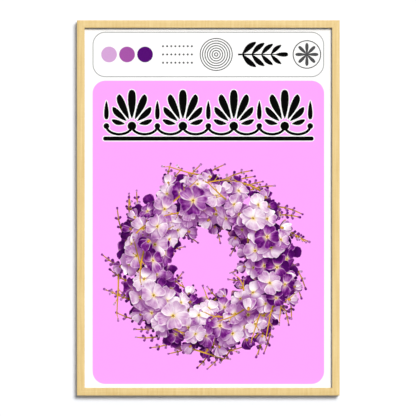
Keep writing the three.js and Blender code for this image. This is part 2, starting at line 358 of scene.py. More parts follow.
def drill(middle, radius, depth, sides):
    """A round cutter along Y."""
    begin_rod(middle, radius, depth, sides)
    return finish_edit("cutter")


def copy_of(piece, name, matrix):
    """A copy of a piece with a mesh of its own, moved by a matrix."""
    copied = piece.copy()
    copied.data = piece.data.copy()
    copied.name = name
    copied.data.name = name
    copied.data.transform(matrix)
    bpy.context.scene.collection.objects.link(copied)
    return copied


def settle(piece, node, body, material):
    """Close any slit left by cutting, dress the piece and put it in place of its node, on its body."""
    select_only(piece)
    bpy.ops.object.mode_set(mode="EDIT")
    bpy.ops.mesh.select_all(action="SELECT")
    bpy.ops.mesh.fill_holes(sides=SLIT_SIDES)
    bpy.ops.object.mode_set(mode="OBJECT")
    piece.data.materials.clear()
    piece.data.materials.append(material)
    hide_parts(node)
    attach(piece, body)


# Materials


def new_material(name):
    """An empty material and its node tree."""
    material = bpy.data.materials.new(name)
    material.use_nodes = True
    material.node_tree.nodes.clear()
    return material, material.node_tree


def add(tree, kind, inputs=None, output=0, stops=(), **values):
    """Add a node: set its values and ramp stops, set or link its inputs, and give one of its outputs."""
    node = tree.nodes.new(f"ShaderNode{kind}")
    for name, value in values.items():
        setattr(node, name, value)
    if stops:
        ramp = node.color_ramp.elements
        while len(ramp) < len(stops):
            ramp.new(1)
        for element, (place, shade) in zip(ramp, stops):
            element.position = place
            element.color = (*shade, 1)
    for name, value in (inputs or {}).items():
        socket = node.inputs[name]
        if isinstance(value, bpy.types.NodeSocket):
            tree.links.new(value, socket)
        else:
            socket.default_value = (*value, 1) if socket.type == "RGBA" else value
    return node.outputs[output] if node.outputs else None


def stops_of(codes):
    """The stops of a colour ramp, from the hex code at each place on it."""
    return [(place, linear(code)) for place, code in codes.items()]


def wood_material(name, lengthways, weights):
    """Ash, planed and satin lacquered: fine straight grain, faint bands, a ripple across, open pores; a heavy
    ripple paints sheen.
    """
    material, tree = new_material(name)
    rails = settings().rails
    place = add(tree, "TexCoord", output="Object")

    # Growth lines are 2 to 6 mm apart. Pores are 0.2 mm wide on ash, drawn 0.8 mm so that they show.
    noise = {}
    for pattern, along, across, detail, offset in (
        ("lines", 130, 2.2, 3, 0),
        ("bands", 180, 6.5, 1, 3.1),
        ("clouds", 60, 16, 1, 7.7),
        ("ripple", 6.5, 90, 2, 9.4),
        ("pores", 9, 0.8, 1, 5.3),
    ):
        scale = [1 / (across * MM)] * 3
        scale[lengthways] = 1 / (along * MM)
        mapped = add(tree, "Mapping", {"Vector": place, "Location": [offset] * 3, "Scale": scale})
        texture = {"Vector": mapped, "Scale": 1, "Detail": detail, "Roughness": 0.55}
        noise[pattern] = add(tree, "TexNoise", texture)

    # The weights mix the patterns into the colour: a heavy ripple weight paints the sheen of raking light
    # over the grain's own figure
    figure_and_painted_sheen = 0.0
    for pattern, weight in weights.items():
        figure_and_painted_sheen = add(tree, "Math", {0: noise[pattern], 1: weight, 2: figure_and_painted_sheen}, operation="MULTIPLY_ADD")
    middle, spread = sum(weights.values()) / 2, 0.325
    limits = {"From Min": middle - spread, "From Max": middle + spread}
    tone = add(tree, "MapRange", {"Value": figure_and_painted_sheen, **limits})
    base = add(tree, "Mix", {0: tone, 6: rails.early_wood, 7: rails.late_wood}, 2, data_type="RGBA")
    open_pores = add(tree, "MapRange", {"Value": noise["pores"], "From Min": 0.62, "From Max": 0.72})
    pore_depth = add(tree, "Math", {0: open_pores, 1: 0.22}, operation="MULTIPLY")
    base = add(tree, "Mix", {0: pore_depth, 6: base, 7: linear("#8A6A3A")}, 2, data_type="RGBA")
    height = add(tree, "Math", {0: noise["lines"], 1: open_pores}, operation="SUBTRACT")
    relief = add(tree, "Bump", {"Height": height, "Strength": 0.35, "Distance": 0.05 * MM})
    rough = add(tree, "MapRange", {"Value": noise["lines"], "To Min": 0.48, "To Max": 0.6})
    finish = {"Base Color": base, "Roughness": rough, "Specular IOR Level": 0.35, "Normal": relief}
    add(tree, "OutputMaterial", {"Surface": add(tree, "BsdfPrincipled", finish)})
    return material


def acrylic_material():
    """Cast acrylic, 1.5 mm: clear, with a weak mirror on its front face alone."""
    material, tree = new_material("clear cast acrylic")
    clear = add(tree, "BsdfTransparent", {"Color": [0.99] * 3})
    place = add(tree, "TexCoord", output="Object")
    # A sheet this thin is never quite flat: it bows over some 200 mm, which bends what it mirrors
    bow = add(tree, "TexNoise", {"Vector": place, "Scale": 1 / (200 * MM), "Detail": 0})
    relief = add(tree, "Bump", {"Height": bow, "Strength": 0.2, "Distance": 0.6 * MM})
    mirror = add(tree, "BsdfGlossy", {"Roughness": 0.03, "Normal": relief})
    shine = add(tree, "Fresnel", {"IOR": 1.49})
    behind = add(tree, "NewGeometry", output="Backfacing")
    front_shine = add(tree, "Mix", {0: behind, 2: shine, 3: 0.0})
    both = add(tree, "MixShader", {0: front_shine, 1: clear, 2: mirror})
    add(tree, "OutputMaterial", {"Surface": both})
    return material


def paper_finish(tree, ink):
    """Coated paper under an ink colour: a faint mottle, a fine tooth and long shallow waves."""
    place = add(tree, "TexCoord", output="Object")
    # The tooth is 0.1 mm on real paper, drawn 0.8 mm so that it shows
    tooth = add(tree, "TexNoise", {"Vector": place, "Scale": 1 / (0.8 * MM), "Detail": 2})
    waves = add(tree, "TexNoise", {"Vector": place, "Scale": 1 / (140 * MM), "Detail": 0})
    limits = {"From Min": 0.3, "From Max": 0.7, "To Min": 0.985, "To Max": 1.0}
    mottle = add(tree, "MapRange", {"Value": tooth, **limits})
    laid = add(tree, "VectorMath", {0: ink, "Scale": mottle}, operation="SCALE")
    fine = add(tree, "Bump", {"Height": tooth, "Strength": 0.1, "Distance": 0.02 * MM})
    relief = add(tree, "Bump", {"Height": waves, "Strength": 0.3, "Distance": 0.5 * MM, "Normal": fine})
    finish = {"Base Color": laid, "Roughness": 0.62, "Specular IOR Level": 0.02, "Normal": relief}
    add(tree, "OutputMaterial", {"Surface": add(tree, "BsdfPrincipled", finish)})


def flat_ink_material():
    """Coated paper with flat offset inks, each face in the colour that its attribute gives."""
    material, tree = new_material("coated paper, flat inks")
    paper_finish(tree, add(tree, "Attribute", attribute_name="ink"))
    return material


def petal_material():
    """Coated paper with printed petals: each runs from a pale throat to a deep tip, with fine veins."""
    material, tree = new_material("coated paper, printed petals")
    drawn = add(tree, "UVMap", uv_map="petal")
    split = add(tree, "SeparateXYZ", {0: drawn}).node.outputs
    look = add(tree, "Attribute", attribute_name="look")
    parts = add(tree, "SeparateColor", {0: look}).node.outputs
    value = {
        "along": split["X"],
        "across": split["Y"],
        "tone": parts["Red"],
        "light": parts["Green"],
        "sort": parts["Blue"],
    }
    # Each step has a name, an operation and its terms, which for NOISE are a place and a detail. Half is
    # the same half width as petal_outline gives.
    for name, operation, *terms in (
        ("rise", "POWER", "along", PETAL_RISE),
        ("left over", "SUBTRACT", 1.0, "along"),
        ("kept over", "MAXIMUM", "left over", 0.0),
        ("fall", "POWER", "kept over", PETAL_FALL),
        ("bulge", "MULTIPLY", "rise", "fall"),
        ("half", "MULTIPLY", "bulge", 0.5 / PETAL_PEAK),
        ("some half", "MAXIMUM", "half", 0.02),
        ("sideways", "ABSOLUTE", "across"),
        ("towards edge", "DIVIDE", "sideways", "some half"),
        ("from root", "ADD", "along", 0.12),
        ("fan", "DIVIDE", "across", "from root"),
        ("vein x", "MULTIPLY", "fan", 16.0),
        ("vein y", "MULTIPLY", "along", 1.6),
        ("vein z", "MULTIPLY", "sort", 50.0),
        ("vein", "NOISE", "vein x", "vein y", "vein z", 2.0),
        ("blotch x", "MULTIPLY", "along", 2.4),
        ("blotch y", "MULTIPLY", "across", 2.4),
        ("blotch z", "MULTIPLY", "sort", 90.0),
        ("blotch", "NOISE", "blotch x", "blotch y", "blotch z", 1.0),
        ("past middle", "SUBTRACT", "along", 0.45),
        ("deep tip", "MULTIPLY_ADD", "past middle", 0.5, "tone"),
        ("veined", "MULTIPLY_ADD", "vein", 0.5, "deep tip"),
        ("blotched", "MULTIPLY_ADD", "blotch", 0.6, "veined"),
        ("centred", "SUBTRACT", "blotched", 0.55),
        ("towards tip", "POWER", "along", 2.0),
        ("outermost", "MAXIMUM", "towards edge", "towards tip"),
        ("past rim", "SUBTRACT", "outermost", 0.72),
        ("rim", "DIVIDE", "past rim", 0.28),
        ("rim from 0", "MAXIMUM", "rim", 0.0),
        ("rim to 1", "MINIMUM", "rim from 0", 1.0),
        ("depth", "MULTIPLY_ADD", "rim to 1", -0.3, "centred"),
    ):
        given = [value.get(term, term) for term in terms]
        if operation == "NOISE":
            *spot, detail = given
            spot = add(tree, "CombineXYZ", dict(enumerate(spot)))
            value[name] = add(tree, "TexNoise", {"Vector": spot, "Scale": 1, "Detail": detail})
        else:
            value[name] = add(tree, "Math", dict(enumerate(given)), operation=operation)
    dyes = {0: "#FFF8FB", 0.22: "#F0D8EA", 0.42: "#D6A9D2", 0.6: "#B26CB6", 0.78: "#84288E", 1: "#500664"}
    dye = add(tree, "ValToRGB", {0: value["depth"]}, stops=stops_of(dyes))
    # The throat is cream and deepens to gold at the root
    for reach, wash in ((0.34, "#F9E6C2"), (0.16, "#DB9C3C")):
        throat = add(tree, "MapRange", {"Value": value["along"], "From Min": reach, "From Max": 0.02})
        dye = add(tree, "Mix", {0: throat, 6: dye, 7: linear(wash)}, 2, data_type="RGBA")
    # Shade between petals is itself violet, since light comes through them
    shades = {0: "#6C2474", 0.45: "#AC7CB2", 1: "#FFFFFF"}
    shade = add(tree, "ValToRGB", {0: value["light"]}, stops=stops_of(shades))
    inks = {0: 1.0, 6: dye, 7: shade}
    paper_finish(tree, add(tree, "Mix", inks, 2, data_type="RGBA", blend_type="MULTIPLY"))
    return material


def hardboard_material():
    """Tempered hardboard, pressed from brown wood fibre: felted fibres and a screen mark behind."""
    material, tree = new_material("tempered hardboard")
    base = Vector(settings().hardware.hardboard)
    place = add(tree, "TexCoord", output="Object")

    # Fibres are 0.1 mm wide and lie every way, drawn 0.4 mm wide so that they show
    layers = []
    for long, wide, turn in ((3, 0.4, 0.2), (3, 0.4, 0.9), (3, 0.4, 1.7), (3, 0.4, 2.5), (70, 70, 0.4)):
        size = (long * MM, 3 * MM, wide * MM)
        lie = {"Vector": place, "Location": [turn] * 3, "Rotation": (0, turn, 0), "Scale": size}
        mapped = add(tree, "Mapping", lie, vector_type="TEXTURE")
        layers.append(add(tree, "TexNoise", {"Vector": mapped, "Scale": 1, "Detail": 2}))
    felt, *fibres, clouds = layers
    for layer in fibres:
        felt = add(tree, "Math", {0: felt, 1: layer}, operation="MAXIMUM")
    shade = add(tree, "Math", {0: clouds, 1: 0.12, 2: felt}, operation="MULTIPLY_ADD")
    dye = add(tree, "ValToRGB", {0: shade}, stops=[(0.52, base * 0.8), (0.68, base), (0.84, base * 1.22)])
    # The wire screen that the board was pressed on leaves square dents 2.2 mm apart. At a scale of 1 the
    # bands of a wave texture are 2 pi / 20 apart.
    pitch = {"Vector": place, "Scale": 2 * math.pi / 20 / (2.2 * MM)}
    screen = [add(tree, "TexWave", pitch, 1, wave_type="BANDS", bands_direction=axis) for axis in "XZ"]
    dents = add(tree, "Math", dict(enumerate(screen)), operation="MULTIPLY")
    pressed = add(tree, "Bump", {"Height": dents, "Strength": 0.4, "Distance": 0.15 * MM})
    relief = add(tree, "Bump", {"Height": felt, "Strength": 0.3, "Distance": 0.1 * MM, "Normal": pressed})
    shader = add(tree, "BsdfPrincipled", {"Base Color": dye, "Roughness": 0.78, "Normal": relief})
    add(tree, "OutputMaterial", {"Surface": shader})
    return material


def metal_material(name, base, stretch, rough):
    """A metal with marks drawn out by stretch, in millimetres along X, Y and Z, and a faint tarnish."""
    material, tree = new_material(name)
    place = add(tree, "TexCoord", output="Object")
    mapped = add(tree, "Mapping", {"Vector": place, "Scale": [1 / (size * MM) for size in stretch]})
    marks = add(tree, "TexNoise", {"Vector": mapped, "Scale": 1, "Detail": 3})
    stain = add(tree, "TexNoise", {"Vector": place, "Scale": 1 / (6 * MM), "Detail": 2})
    limits = {"From Min": 0.35, "From Max": 0.75, "To Min": 0, "To Max": 0.35}
    tarnish = add(tree, "MapRange", {"Value": stain, **limits})
    dye = add(tree, "Mix", {0: tarnish, 6: base, 7: Vector(base) * 0.6}, 2, data_type="RGBA")
    roughness = add(tree, "MapRange", {"Value": marks, "To Min": rough[0], "To Max": rough[1]})
    relief = add(tree, "Bump", {"Height": marks, "Strength": 0.3, "Distance": 0.02 * MM})
    finish = {"Base Color": dye, "Metallic": 1.0, "Roughness": roughness, "Normal": relief}
    add(tree, "OutputMaterial", {"Surface": add(tree, "BsdfPrincipled", finish)})
    return material


def spring_steel_material():
    """Bare hardened steel strip: grey-blue, with fine rolling lines."""
    base = settings().hardware.spring_steel
    return metal_material("hardened spring steel", base, (3, 0.3, 0.3), (0.3, 0.46))


def nickel_material():
    """Nickel-plated steel: bright and warm, with a soft orange-peel ripple from the plating."""
    base = settings().hardware.nickel
    return metal_material("nickel-plated steel", base, (1.2, 1.2, 1.2), (0.16, 0.3))


def rubber_material():
    """Moulded grey rubber: matt, with a powdery bloom and a fine spark-eroded grain."""
    material, tree = new_material("moulded rubber")
    base = Vector(settings().hardware.rubber)
    place = add(tree, "TexCoord", output="Object")
    # The mould's grain is 0.1 mm, drawn 0.4 mm so that it shows
    grain = add(tree, "TexNoise", {"Vector": place, "Scale": 1 / (0.4 * MM), "Detail": 2})
    bloom = add(tree, "TexNoise", {"Vector": place, "Scale": 1 / (3 * MM), "Detail": 2})
    dye = add(tree, "Mix", {0: bloom, 6: base * 0.85, 7: base * 1.25}, 2, data_type="RGBA")
    relief = add(tree, "Bump", {"Height": grain, "Strength": 0.4, "Distance": 0.05 * MM})
    finish = {"Base Color": dye, "Roughness": 0.8, "Specular IOR Level": 0.4, "Normal": relief}
    add(tree, "OutputMaterial", {"Surface": add(tree, "BsdfPrincipled", finish)})
    return material


# The rails


TAB_THICKNESS = 0.5 * MM
NAIL_INSETS = {"outer": 4 * MM, "inner": 9 * MM}
NAIL_THICKNESS = 0.6 * MM
PILOT_RADIUS = 1.8 * MM


def tab_slots(side, play):
    """Cutters for the slots that a side's tabs are driven into."""
    margin = Vector.Fill(3, play)
    for number in range(1, TAB_COUNTS[side] + 1):
        low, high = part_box(f"retainer_tab_{side}_{number}")
        high.y = low.y + TAB_THICKNESS
        yield block(low - margin, high + margin)


def nail_slots(side, play):
    """Cutters for the V-shaped slots at both ends of a side, from behind."""
    half = NAIL_THICKNESS / 2 + play
    for end, hand in CORNERS:
        across, up = OUTWARDS[hand], OUTWARDS[end]
        for place, inset in NAIL_INSETS.items() if side in (end, hand) else ():
            low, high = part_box(f"corner_nail_{end}_{hand}_{place}")
            point = (FRAME_HIGH.x - inset) * across + (FRAME_HIGH.z - inset) * up
            leg = high.x - low.x - NAIL_THICKNESS / 2 + play
            for way in (across, up):
                tips = [point + way * half, point - way * leg]
                margin = half * Vector((abs(way.z), 0, abs(way.x)))
                near = Vector((min(tip.x for tip in tips), low.y - play, min(tip.z for tip in tips)))
                far = Vector((max(tip.x for tip in tips), high.y + play, max(tip.z for tip in tips)))
                yield block(near - margin, far + margin)


def pilot_holes(side):
    """Cutters for the hanger screws' holes in a side."""
    for level in LEVELS if side in HANDS else ():
        low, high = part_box(f"hanger_screw_{side}_{level}")
        yield drill((low + high) / 2, PILOT_RADIUS, high.y - low.y, sides=24)


def make_rail(side, values):
    """One rail: a lip, a wall extruded behind it, round long edges, two mitres and its slots."""
    out, along = OUTWARDS[side], along_of(side)
    reach, half, wall = reach_of(FRAME_HIGH, out), reach_of(FRAME_HIGH, along), wall_of(side)
    front, lip_back, back = FRAME_LOW.y, PANE_LOW.y, FRAME_HIGH.y
    middle = (reach - FACE_WIDTH / 2) * out + (front + lip_back) / 2 * BACKWARDS
    size = FACE_WIDTH * out + (lip_back - front) * BACKWARDS + 2 * half * along
    begin_box(middle, [abs(part) for part in size])
    cut(wall * out, out)
    pick_facing(BACKWARDS, lambda face: face.calc_center_median().dot(out) > wall)
    push((back - lip_back) * BACKWARDS)
    bpy.ops.mesh.select_all(action="SELECT")
    bpy.ops.mesh.dissolve_limited(angle_limit=math.radians(1))

    def is_rounded(edge):
        """The two long front edges and the outer long back edge."""
        at_outer_back = lies_at(edge, BACKWARDS, back) and lies_at(edge, out, reach)
        return edge.calc_length() > half and (lies_at(edge, BACKWARDS, front) or at_outer_back)

    pick("EDGE", is_rounded)
    round_off(values.edge_radius, segments=5)
    for end in (-1, 1):
        corner = reach * out + (half - values.mitre_gap / math.sqrt(2)) * end * along
        cut(corner, (end * along - out).normalized(), remove=True)
    rail = finish_edit(f"{side}_rail")
    soften(rail, values.arris)
    carve(rail, [*tab_slots(side, values.slot_play), *nail_slots(side, values.slot_play)])
    carve(rail, pilot_holes(side))
    smooth(30)
    return rail


class POSTER_OT_rails(bpy.types.Operator):
    """Make the four mitred rails"""

    bl_idname = "poster.rails"
    bl_label = "Rails"

    def execute(self, context):
        # The ash's ripple across the grain is painted far stronger on the level rails, as a painted sheen of
        # the light raking along them
        level_grain_and_painted_sheen = {"lines": 0.6, "bands": 0.4, "clouds": 0.35, "ripple": 0.85}
        upright_figure = {"lines": 1.0, "bands": 0.5, "clouds": 0.35, "ripple": 0.12}
        level = wood_material("lacquered ash, grain level, painted sheen", 0, level_grain_and_painted_sheen)
        upright = wood_material("lacquered ash, grain upright", 2, upright_figure)
        for side in OUTWARDS:
            rail = make_rail(side, settings().rails)
            settle(rail, f"rail_{side}", "frame", upright if side in HANDS else level)
        return {"FINISHED"}


# The hardware


TAB_TIP_LENGTH = 4 * MM
TAB_POINT_LENGTH = 3 * MM
TAB_POINT_WIDTH = 4 * MM
TAB_CORNER_RADIUS = 3 * MM
TAB_SOFTNESS = 0.08 * MM


def make_tab():
    """A spring-steel tab: z = 0 is the wall it is driven into, and y = 0 its front face."""
    low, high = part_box("retainer_tab_top_1")
    wide, lift = high.x - low.x, high.y - low.y - TAB_THICKNESS
    bite, reach = high.z - wall_of("top"), low.z - wall_of("top")
    begin_box((0, TAB_THICKNESS / 2, (bite + reach) / 2), (wide, TAB_THICKNESS, bite - reach))
    cut((0, 0, reach + TAB_TIP_LENGTH), UP)
    cut((0, 0, bite - TAB_POINT_LENGTH), UP)
    pick("VERT", lambda vert: vert.co.z < reach + TAB_TIP_LENGTH / 2)
    bpy.ops.transform.translate(value=(0, lift, 0))
    pick("VERT", lambda vert: vert.co.z > bite - TAB_POINT_LENGTH / 2)
    scale_by((TAB_POINT_WIDTH / wide, 1, 1))
    pick("EDGE", lambda edge: is_end_corner(edge, reach))
    round_off(TAB_CORNER_RADIUS, segments=6)
    tab = finish_edit("tab")
    soften(tab, TAB_SOFTNESS)
    return tab


class POSTER_OT_tabs(bpy.types.Operator):
    """Make the spring-steel tabs that hold the board in"""

    bl_idname = "poster.tabs"
    bl_label = "Tabs"

    def execute(self, context):
        tab, steel = make_tab(), spring_steel_material()
        for side, count in TAB_COUNTS.items():
            out, along = OUTWARDS[side], along_of(side)
            turn = Matrix((along, BACKWARDS, out)).transposed().to_4x4()
            for number in range(1, count + 1):
                node = f"retainer_tab_{side}_{number}"
                low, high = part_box(node)
                foot = wall_of(side) * out + (low + high).dot(along) / 2 * along + low.y * BACKWARDS
                driven = copy_of(tab, f"board_tab_{side}_{number}", Matrix.Translation(foot) @ turn)
                settle(driven, node, "frame", steel)
        bpy.data.objects.remove(tab)
        return {"FINISHED"}


STRAP_THICKNESS = 0.9 * MM
STRAP_HOLE_RADIUS = 1.9 * MM
ROLL_SWEEP = 262
RING_BEND_RADIUS = 2 * MM
RING_BUTT_GAP = 0.4 * MM
HEAD_HEIGHT = 1.7 * MM
HEAD_RIM = 0.5 * MM
HEAD_RADIUS = 2.9 * MM
SHANK_RADIUS = 1.5 * MM
THREAD_PITCH = 1.3 * MM
# Shares of the shank's radius at the thread's root and at the screw's point, which the last turns taper to
THREAD_ROOT = 0.72
THREAD_POINT = 0.06
TAPER_TURNS = 2.5
# The cross recess in a screw's head, which narrows to these shares of its size towards its floor
DRIVE_SPAN = 3.2 * MM
DRIVE_SLOT = 0.8 * MM
DRIVE_DEPTH = 1.1 * MM
DRIVE_TAPER = (0.55, 1, 0.8)
# Screws stop at any angle when they are tight
SCREW_TURNS = {("left", "upper"): 20, ("left", "lower"): 71, ("right", "upper"): 43, ("right", "lower"): 8}


def seat_of(hand, level):
    """The middle of the underside of a screw's head."""
    low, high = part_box(f"hanger_screw_{hand}_{level}")
    return Vector(((low.x + high.x) / 2, high.y - HEAD_HEIGHT, (low.z + high.z) / 2))


def make_strap():
    """A strap round its hinge, the origin: a plate rolled at its top, with a round foot and two holes."""
    pivot = pivot_of("left")
    low, high = (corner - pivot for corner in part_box("hanger_strap_left"))
    wide = high.x - low.x
    begin_box((0, low.y + STRAP_THICKNESS / 2, low.z / 2), (wide, STRAP_THICKNESS, -low.z))
    pick("EDGE", lambda edge: is_end_corner(edge, low.z))
    round_off(wide / 2 - TOUCHING, segments=14)
    pick_facing(UP)
    turn_about((0, 0, 0), -RIGHT, ROLL_SWEEP, steps=26)
    strap = finish_edit("strap")
    seats = [seat_of("left", level) - pivot for level in LEVELS]
    carve(strap, [drill(seat, STRAP_HOLE_RADIUS, 4 * STRAP_THICKNESS, sides=40) for seat in seats])
    soften(strap, settings().hardware.softness)
    smooth(40)
    return strap


def make_ring():
    """A D-shaped ring of wire round the origin, swept from one end of its straight bar to the other."""
    pivot = pivot_of("left")
    low, high = (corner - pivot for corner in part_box("hanger_ring_left"))
    wire = (high.y - low.y) / 2
    bow = (high.x - low.x) / 2 - wire
    leg = -low.z - wire - bow
    bend, start = RING_BEND_RADIUS, RING_BUTT_GAP / 2
    end_face = {"vertices": 20, "radius": wire, "fill_type": "NGON", "rotation": (0, math.pi / 2, 0)}
    begin(bpy.ops.mesh.primitive_circle_add, location=(start, 0, 0), **end_face)
    push((bow - bend - start, 0, 0))
    turn_about((bow - bend, 0, -bend), BACKWARDS, 90, steps=8)
    push((0, 0, bend - leg))
    turn_about((0, 0, -leg), BACKWARDS, 180, steps=32)
    push((0, 0, leg - bend))
    turn_about((bend - bow, 0, -bend), BACKWARDS, 90, steps=8)
    push((bow - bend - start, 0, 0))
    return finish_edit("ring", sharp_angle=50)


def make_screw():
    """A wood screw whose head sits on y = 0: a domed crown with a cross recess, and a thread."""
    shank = seat_of("left", "upper").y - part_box("hanger_screw_left_upper")[0].y
    begin_rod((0, HEAD_RIM / 2, 0), HEAD_RADIUS, HEAD_RIM, sides=36)
    pick_facing(BACKWARDS)
    crown(HEAD_RADIUS, HEAD_RADIUS, HEAD_HEIGHT - HEAD_RIM, steps=9)
    pick_facing(-BACKWARDS)
    bpy.ops.mesh.inset(thickness=HEAD_RADIUS - SHANK_RADIUS)
    turns = int(shank / THREAD_PITCH)
    push((0, turns * THREAD_PITCH - shank, 0))
    reached = 1.0
    for turn in range(turns):
        taper = min(1, (turns - turn) / TAPER_TURNS)
        crest = taper if turn < turns - 1 else THREAD_POINT
        for wanted in (THREAD_ROOT * taper, crest):
            push((0, -THREAD_PITCH / 2, 0))
            scale_by((wanted / reached, 1, wanted / reached))
            reached = wanted
    screw = finish_edit("screw", sharp_angle=35)
    top = (0, HEAD_HEIGHT, 0)
    slots = []
    for turn in (0, math.pi / 2):
        begin_box(top, (DRIVE_SPAN, 2 * DRIVE_DEPTH, DRIVE_SLOT), turn)
        pick_facing(-BACKWARDS)
        scale_by(DRIVE_TAPER, top)
        slots.append(finish_edit("cutter"))
    carve(screw, slots)
    smooth(35)
    return screw


class POSTER_OT_hangers(bpy.types.Operator):
    """Make the two strap hangers with their rings and screws"""

    bl_idname = "poster.hangers"
    bl_label = "Hangers"

    def execute(self, context):
        strap, ring, screw = make_strap(), make_ring(), make_screw()
        nickel = nickel_material()
        for hand in HANDS:
            hinge = Matrix.Translation(pivot_of(hand))
            pieces = [
                (strap, f"strap_{hand}", hinge, f"hanger_strap_{hand}", "frame"),
                (ring, f"d_ring_{hand}", hinge, f"hanger_ring_{hand}", f"ring_{hand}"),
            ]
            for level in LEVELS:
                turn = Matrix.Rotation(math.radians(SCREW_TURNS[hand, level]), 4, "Y")
                seat = Matrix.Translation(seat_of(hand, level)) @ turn
                pieces.append((screw, f"screw_{hand}_{level}", seat, f"hanger_screw_{hand}_{level}", "frame"))
            for pattern, name, matrix, node, body in pieces:
                settle(copy_of(pattern, name, matrix), node, body, nickel)
        for pattern in (strap, ring, screw):
            bpy.data.objects.remove(pattern)
        return {"FINISHED"}


BUMPER_SIDE = 2.5 * MM
BUMPER_CROWN_RADIUS = 3.6 * MM


def make_bumper():
    """A bumper that stands on y = 0: a short round side and a crown with a flat top."""
    low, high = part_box("wall_bumper_top_left")
    radius, tall = (high.x - low.x) / 2, high.y - low.y
    begin_rod((0, BUMPER_SIDE / 2, 0), radius, BUMPER_SIDE, sides=40)
    pick_facing(BACKWARDS)
    crown(radius, radius - BUMPER_CROWN_RADIUS, tall - BUMPER_SIDE, steps=8)
    return finish_edit("bumper", sharp_angle=50)


class POSTER_OT_bumpers(bpy.types.Operator):
    """Make the rubber bumpers that keep the frame off the wall"""

    bl_idname = "poster.bumpers"
    bl_label = "Bumpers"

    def execute(self, context):
        bumper, rubber = make_bumper(), rubber_material()
        for end in ("bottom", "top"):
            for hand in HANDS:
                node = f"wall_bumper_{end}_{hand}"
                low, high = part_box(node)
                foot = Vector(((low.x + high.x) / 2, low.y, (low.z + high.z) / 2))
                stuck = copy_of(bumper, f"bumper_{end}_{hand}", Matrix.Translation(foot))
                settle(stuck, node, "frame", rubber)
        bpy.data.objects.remove(bumper)
        return {"FINISHED"}


# The print, drawn in millimetres from its middle: x to the right and z up


# A petal's half width along its length x is x^rise (1 - x)^fall, scaled to 1/2 where it is widest
PETAL_RISE = 0.8
PETAL_FALL = 0.36
WIDEST = PETAL_RISE / (PETAL_RISE + PETAL_FALL)
PETAL_PEAK = WIDEST**PETAL_RISE * (1 - WIDEST) ** PETAL_FALL
NOTCH_WIDTH = 0.14

GOLD = linear("#D8A338")
DARK_GOLD = linear("#96651C")
PALE_GOLD = linear("#F6DE8C")
LINE_GREY = linear("#4C4C4E")

TWIG_WIDTH = 6.4
RUNNER_WIDTH = 5.6
SHOOT_WIDTH = 3.2
# Dark petals that fill the wreath's depth
FILLERS = 150
# How far from the ring's middle line each kind grows, in tube radii
FILLER_REACH, CREST_REACH, RIM_REACH = 0.84, 0.62, 1.0
# How many places are tried for each of them
TRIES = 14

# Printed light and shadow: a shadow slips by a share of what casts it, and fades between two reaches
LIGHT_FROM = np.array([0.5, 0.87])
FLOWER_SLIP, FLOWER_FADE, FLOWER_SHADOW = 0.16, (0.62, 1.15), 0.6
PETAL_SLIP, PETAL_FADE, PETAL_SHADOW = 0.1, (0.85, 1.2), 0.4
# The middle and half width of a petal's shadow, with the petal 1 long and 1 wide
PETAL_MIDDLE, PETAL_HALF = 0.55, 0.5
# How bright a level petal is, how much a slope changes that, and how far petals slope outwards with the ring
LEVEL_LIGHT, SLOPE_LIGHT, OUTWARD_SLOPE = 0.88, 0.26, 0.9

# Points that carry shading: their pitch, and how far their grid and they themselves reach, in tube radii
SHADING_STEP, GRID_REACH, SHADING_REACH = 5, 1.3, 1.25
# How the outlines are divided: only what lies inside them is kept, and points nearer than this are one
KEEP_INSIDE = 1
JOIN_DISTANCE = 0.001

# A printed outline is one flat ink, or a petal that is shaded along and across its own axes
Shape = namedtuple("Shape", "outline ink group root matrix look")
# A petal's tone, how it curves along and across, and a number that sets its pattern
Look = namedtuple("Look", "tone cup roll sort")
# What grows from one point of the wreath, with the round shadow that it casts on what lies below
Group = namedtuple("Group", "middle size lean shadow")


def heading(angle):
    """The unit vector at an angle."""
    return np.array([math.cos(angle), math.sin(angle)])


def circle(middle, radius, points=48):
    """A circle, as a list of points."""
    return [tuple(np.array(middle) + radius * heading(2 * math.pi * i / points)) for i in range(points)]


def rounded_box(low, high, radius, steps=10):
    """A rectangle with round corners, as a list of points."""
    points = []
    for quarter, (right, up) in enumerate(((1, 1), (0, 1), (0, 0), (1, 0))):
        x = high[0] - radius if right else low[0] + radius
        z = high[1] - radius if up else low[1] + radius
        for step in range(steps + 1):
            points.append(tuple((x, z) + radius * heading((quarter + step / steps) * math.pi / 2)))
    return points


def petal_outline(points=9, notch=0.0, wave=0.0, phase=0.0):
    """A petal from its root at (0, 0) to its tip at (1, 0), up to 1 wide, with a notched tip."""
    side = []
    for i in range(1, points):
        x = (1 - math.cos(math.pi * i / points)) / 2
        y = 0.5 * x**PETAL_RISE * (1 - x) ** PETAL_FALL / PETAL_PEAK
        side.append((x - notch * math.exp(-((y / NOTCH_WIDTH) ** 2)) * x**3, y))
    outline = [(0, 0), *((x, -y) for x, y in side), (1 - notch, 0), *reversed(side)]
    return [
        (x * (1 + wave * math.sin(7 * y + phase) * x), y * (1 + wave * math.sin(9 * x + 2 * phase)))
        for x, y in outline
    ]


def bent(outline, turn):
    """An outline whose middle line, from (0, 0) to (1, 0), is bent through an angle."""
    if not turn:
        return outline
    points = []
    for x, y in outline:
        sine, cosine = math.sin(turn * x), math.cos(turn * x)
        points.append((sine / turn - y * sine, (1 - cosine) / turn + y * cosine))
    return points


def grown(outline, margin):
    """An outline moved outwards by a margin, along the mean normal at each point."""
    points = np.array(outline)
    ahead = np.roll(points, -1, axis=0) - np.roll(points, 1, axis=0)
    normals = np.stack([ahead[:, 1], -ahead[:, 0]], axis=1)
    normals /= np.linalg.norm(normals, axis=1)[:, None]
    return [tuple(point) for point in points + margin * normals]


def turned(angle, long, wide):
    """The matrix that turns a petal by an angle and gives it its length and width."""
    return np.stack([long * heading(angle), wide * heading(angle + math.pi / 2)], axis=1)


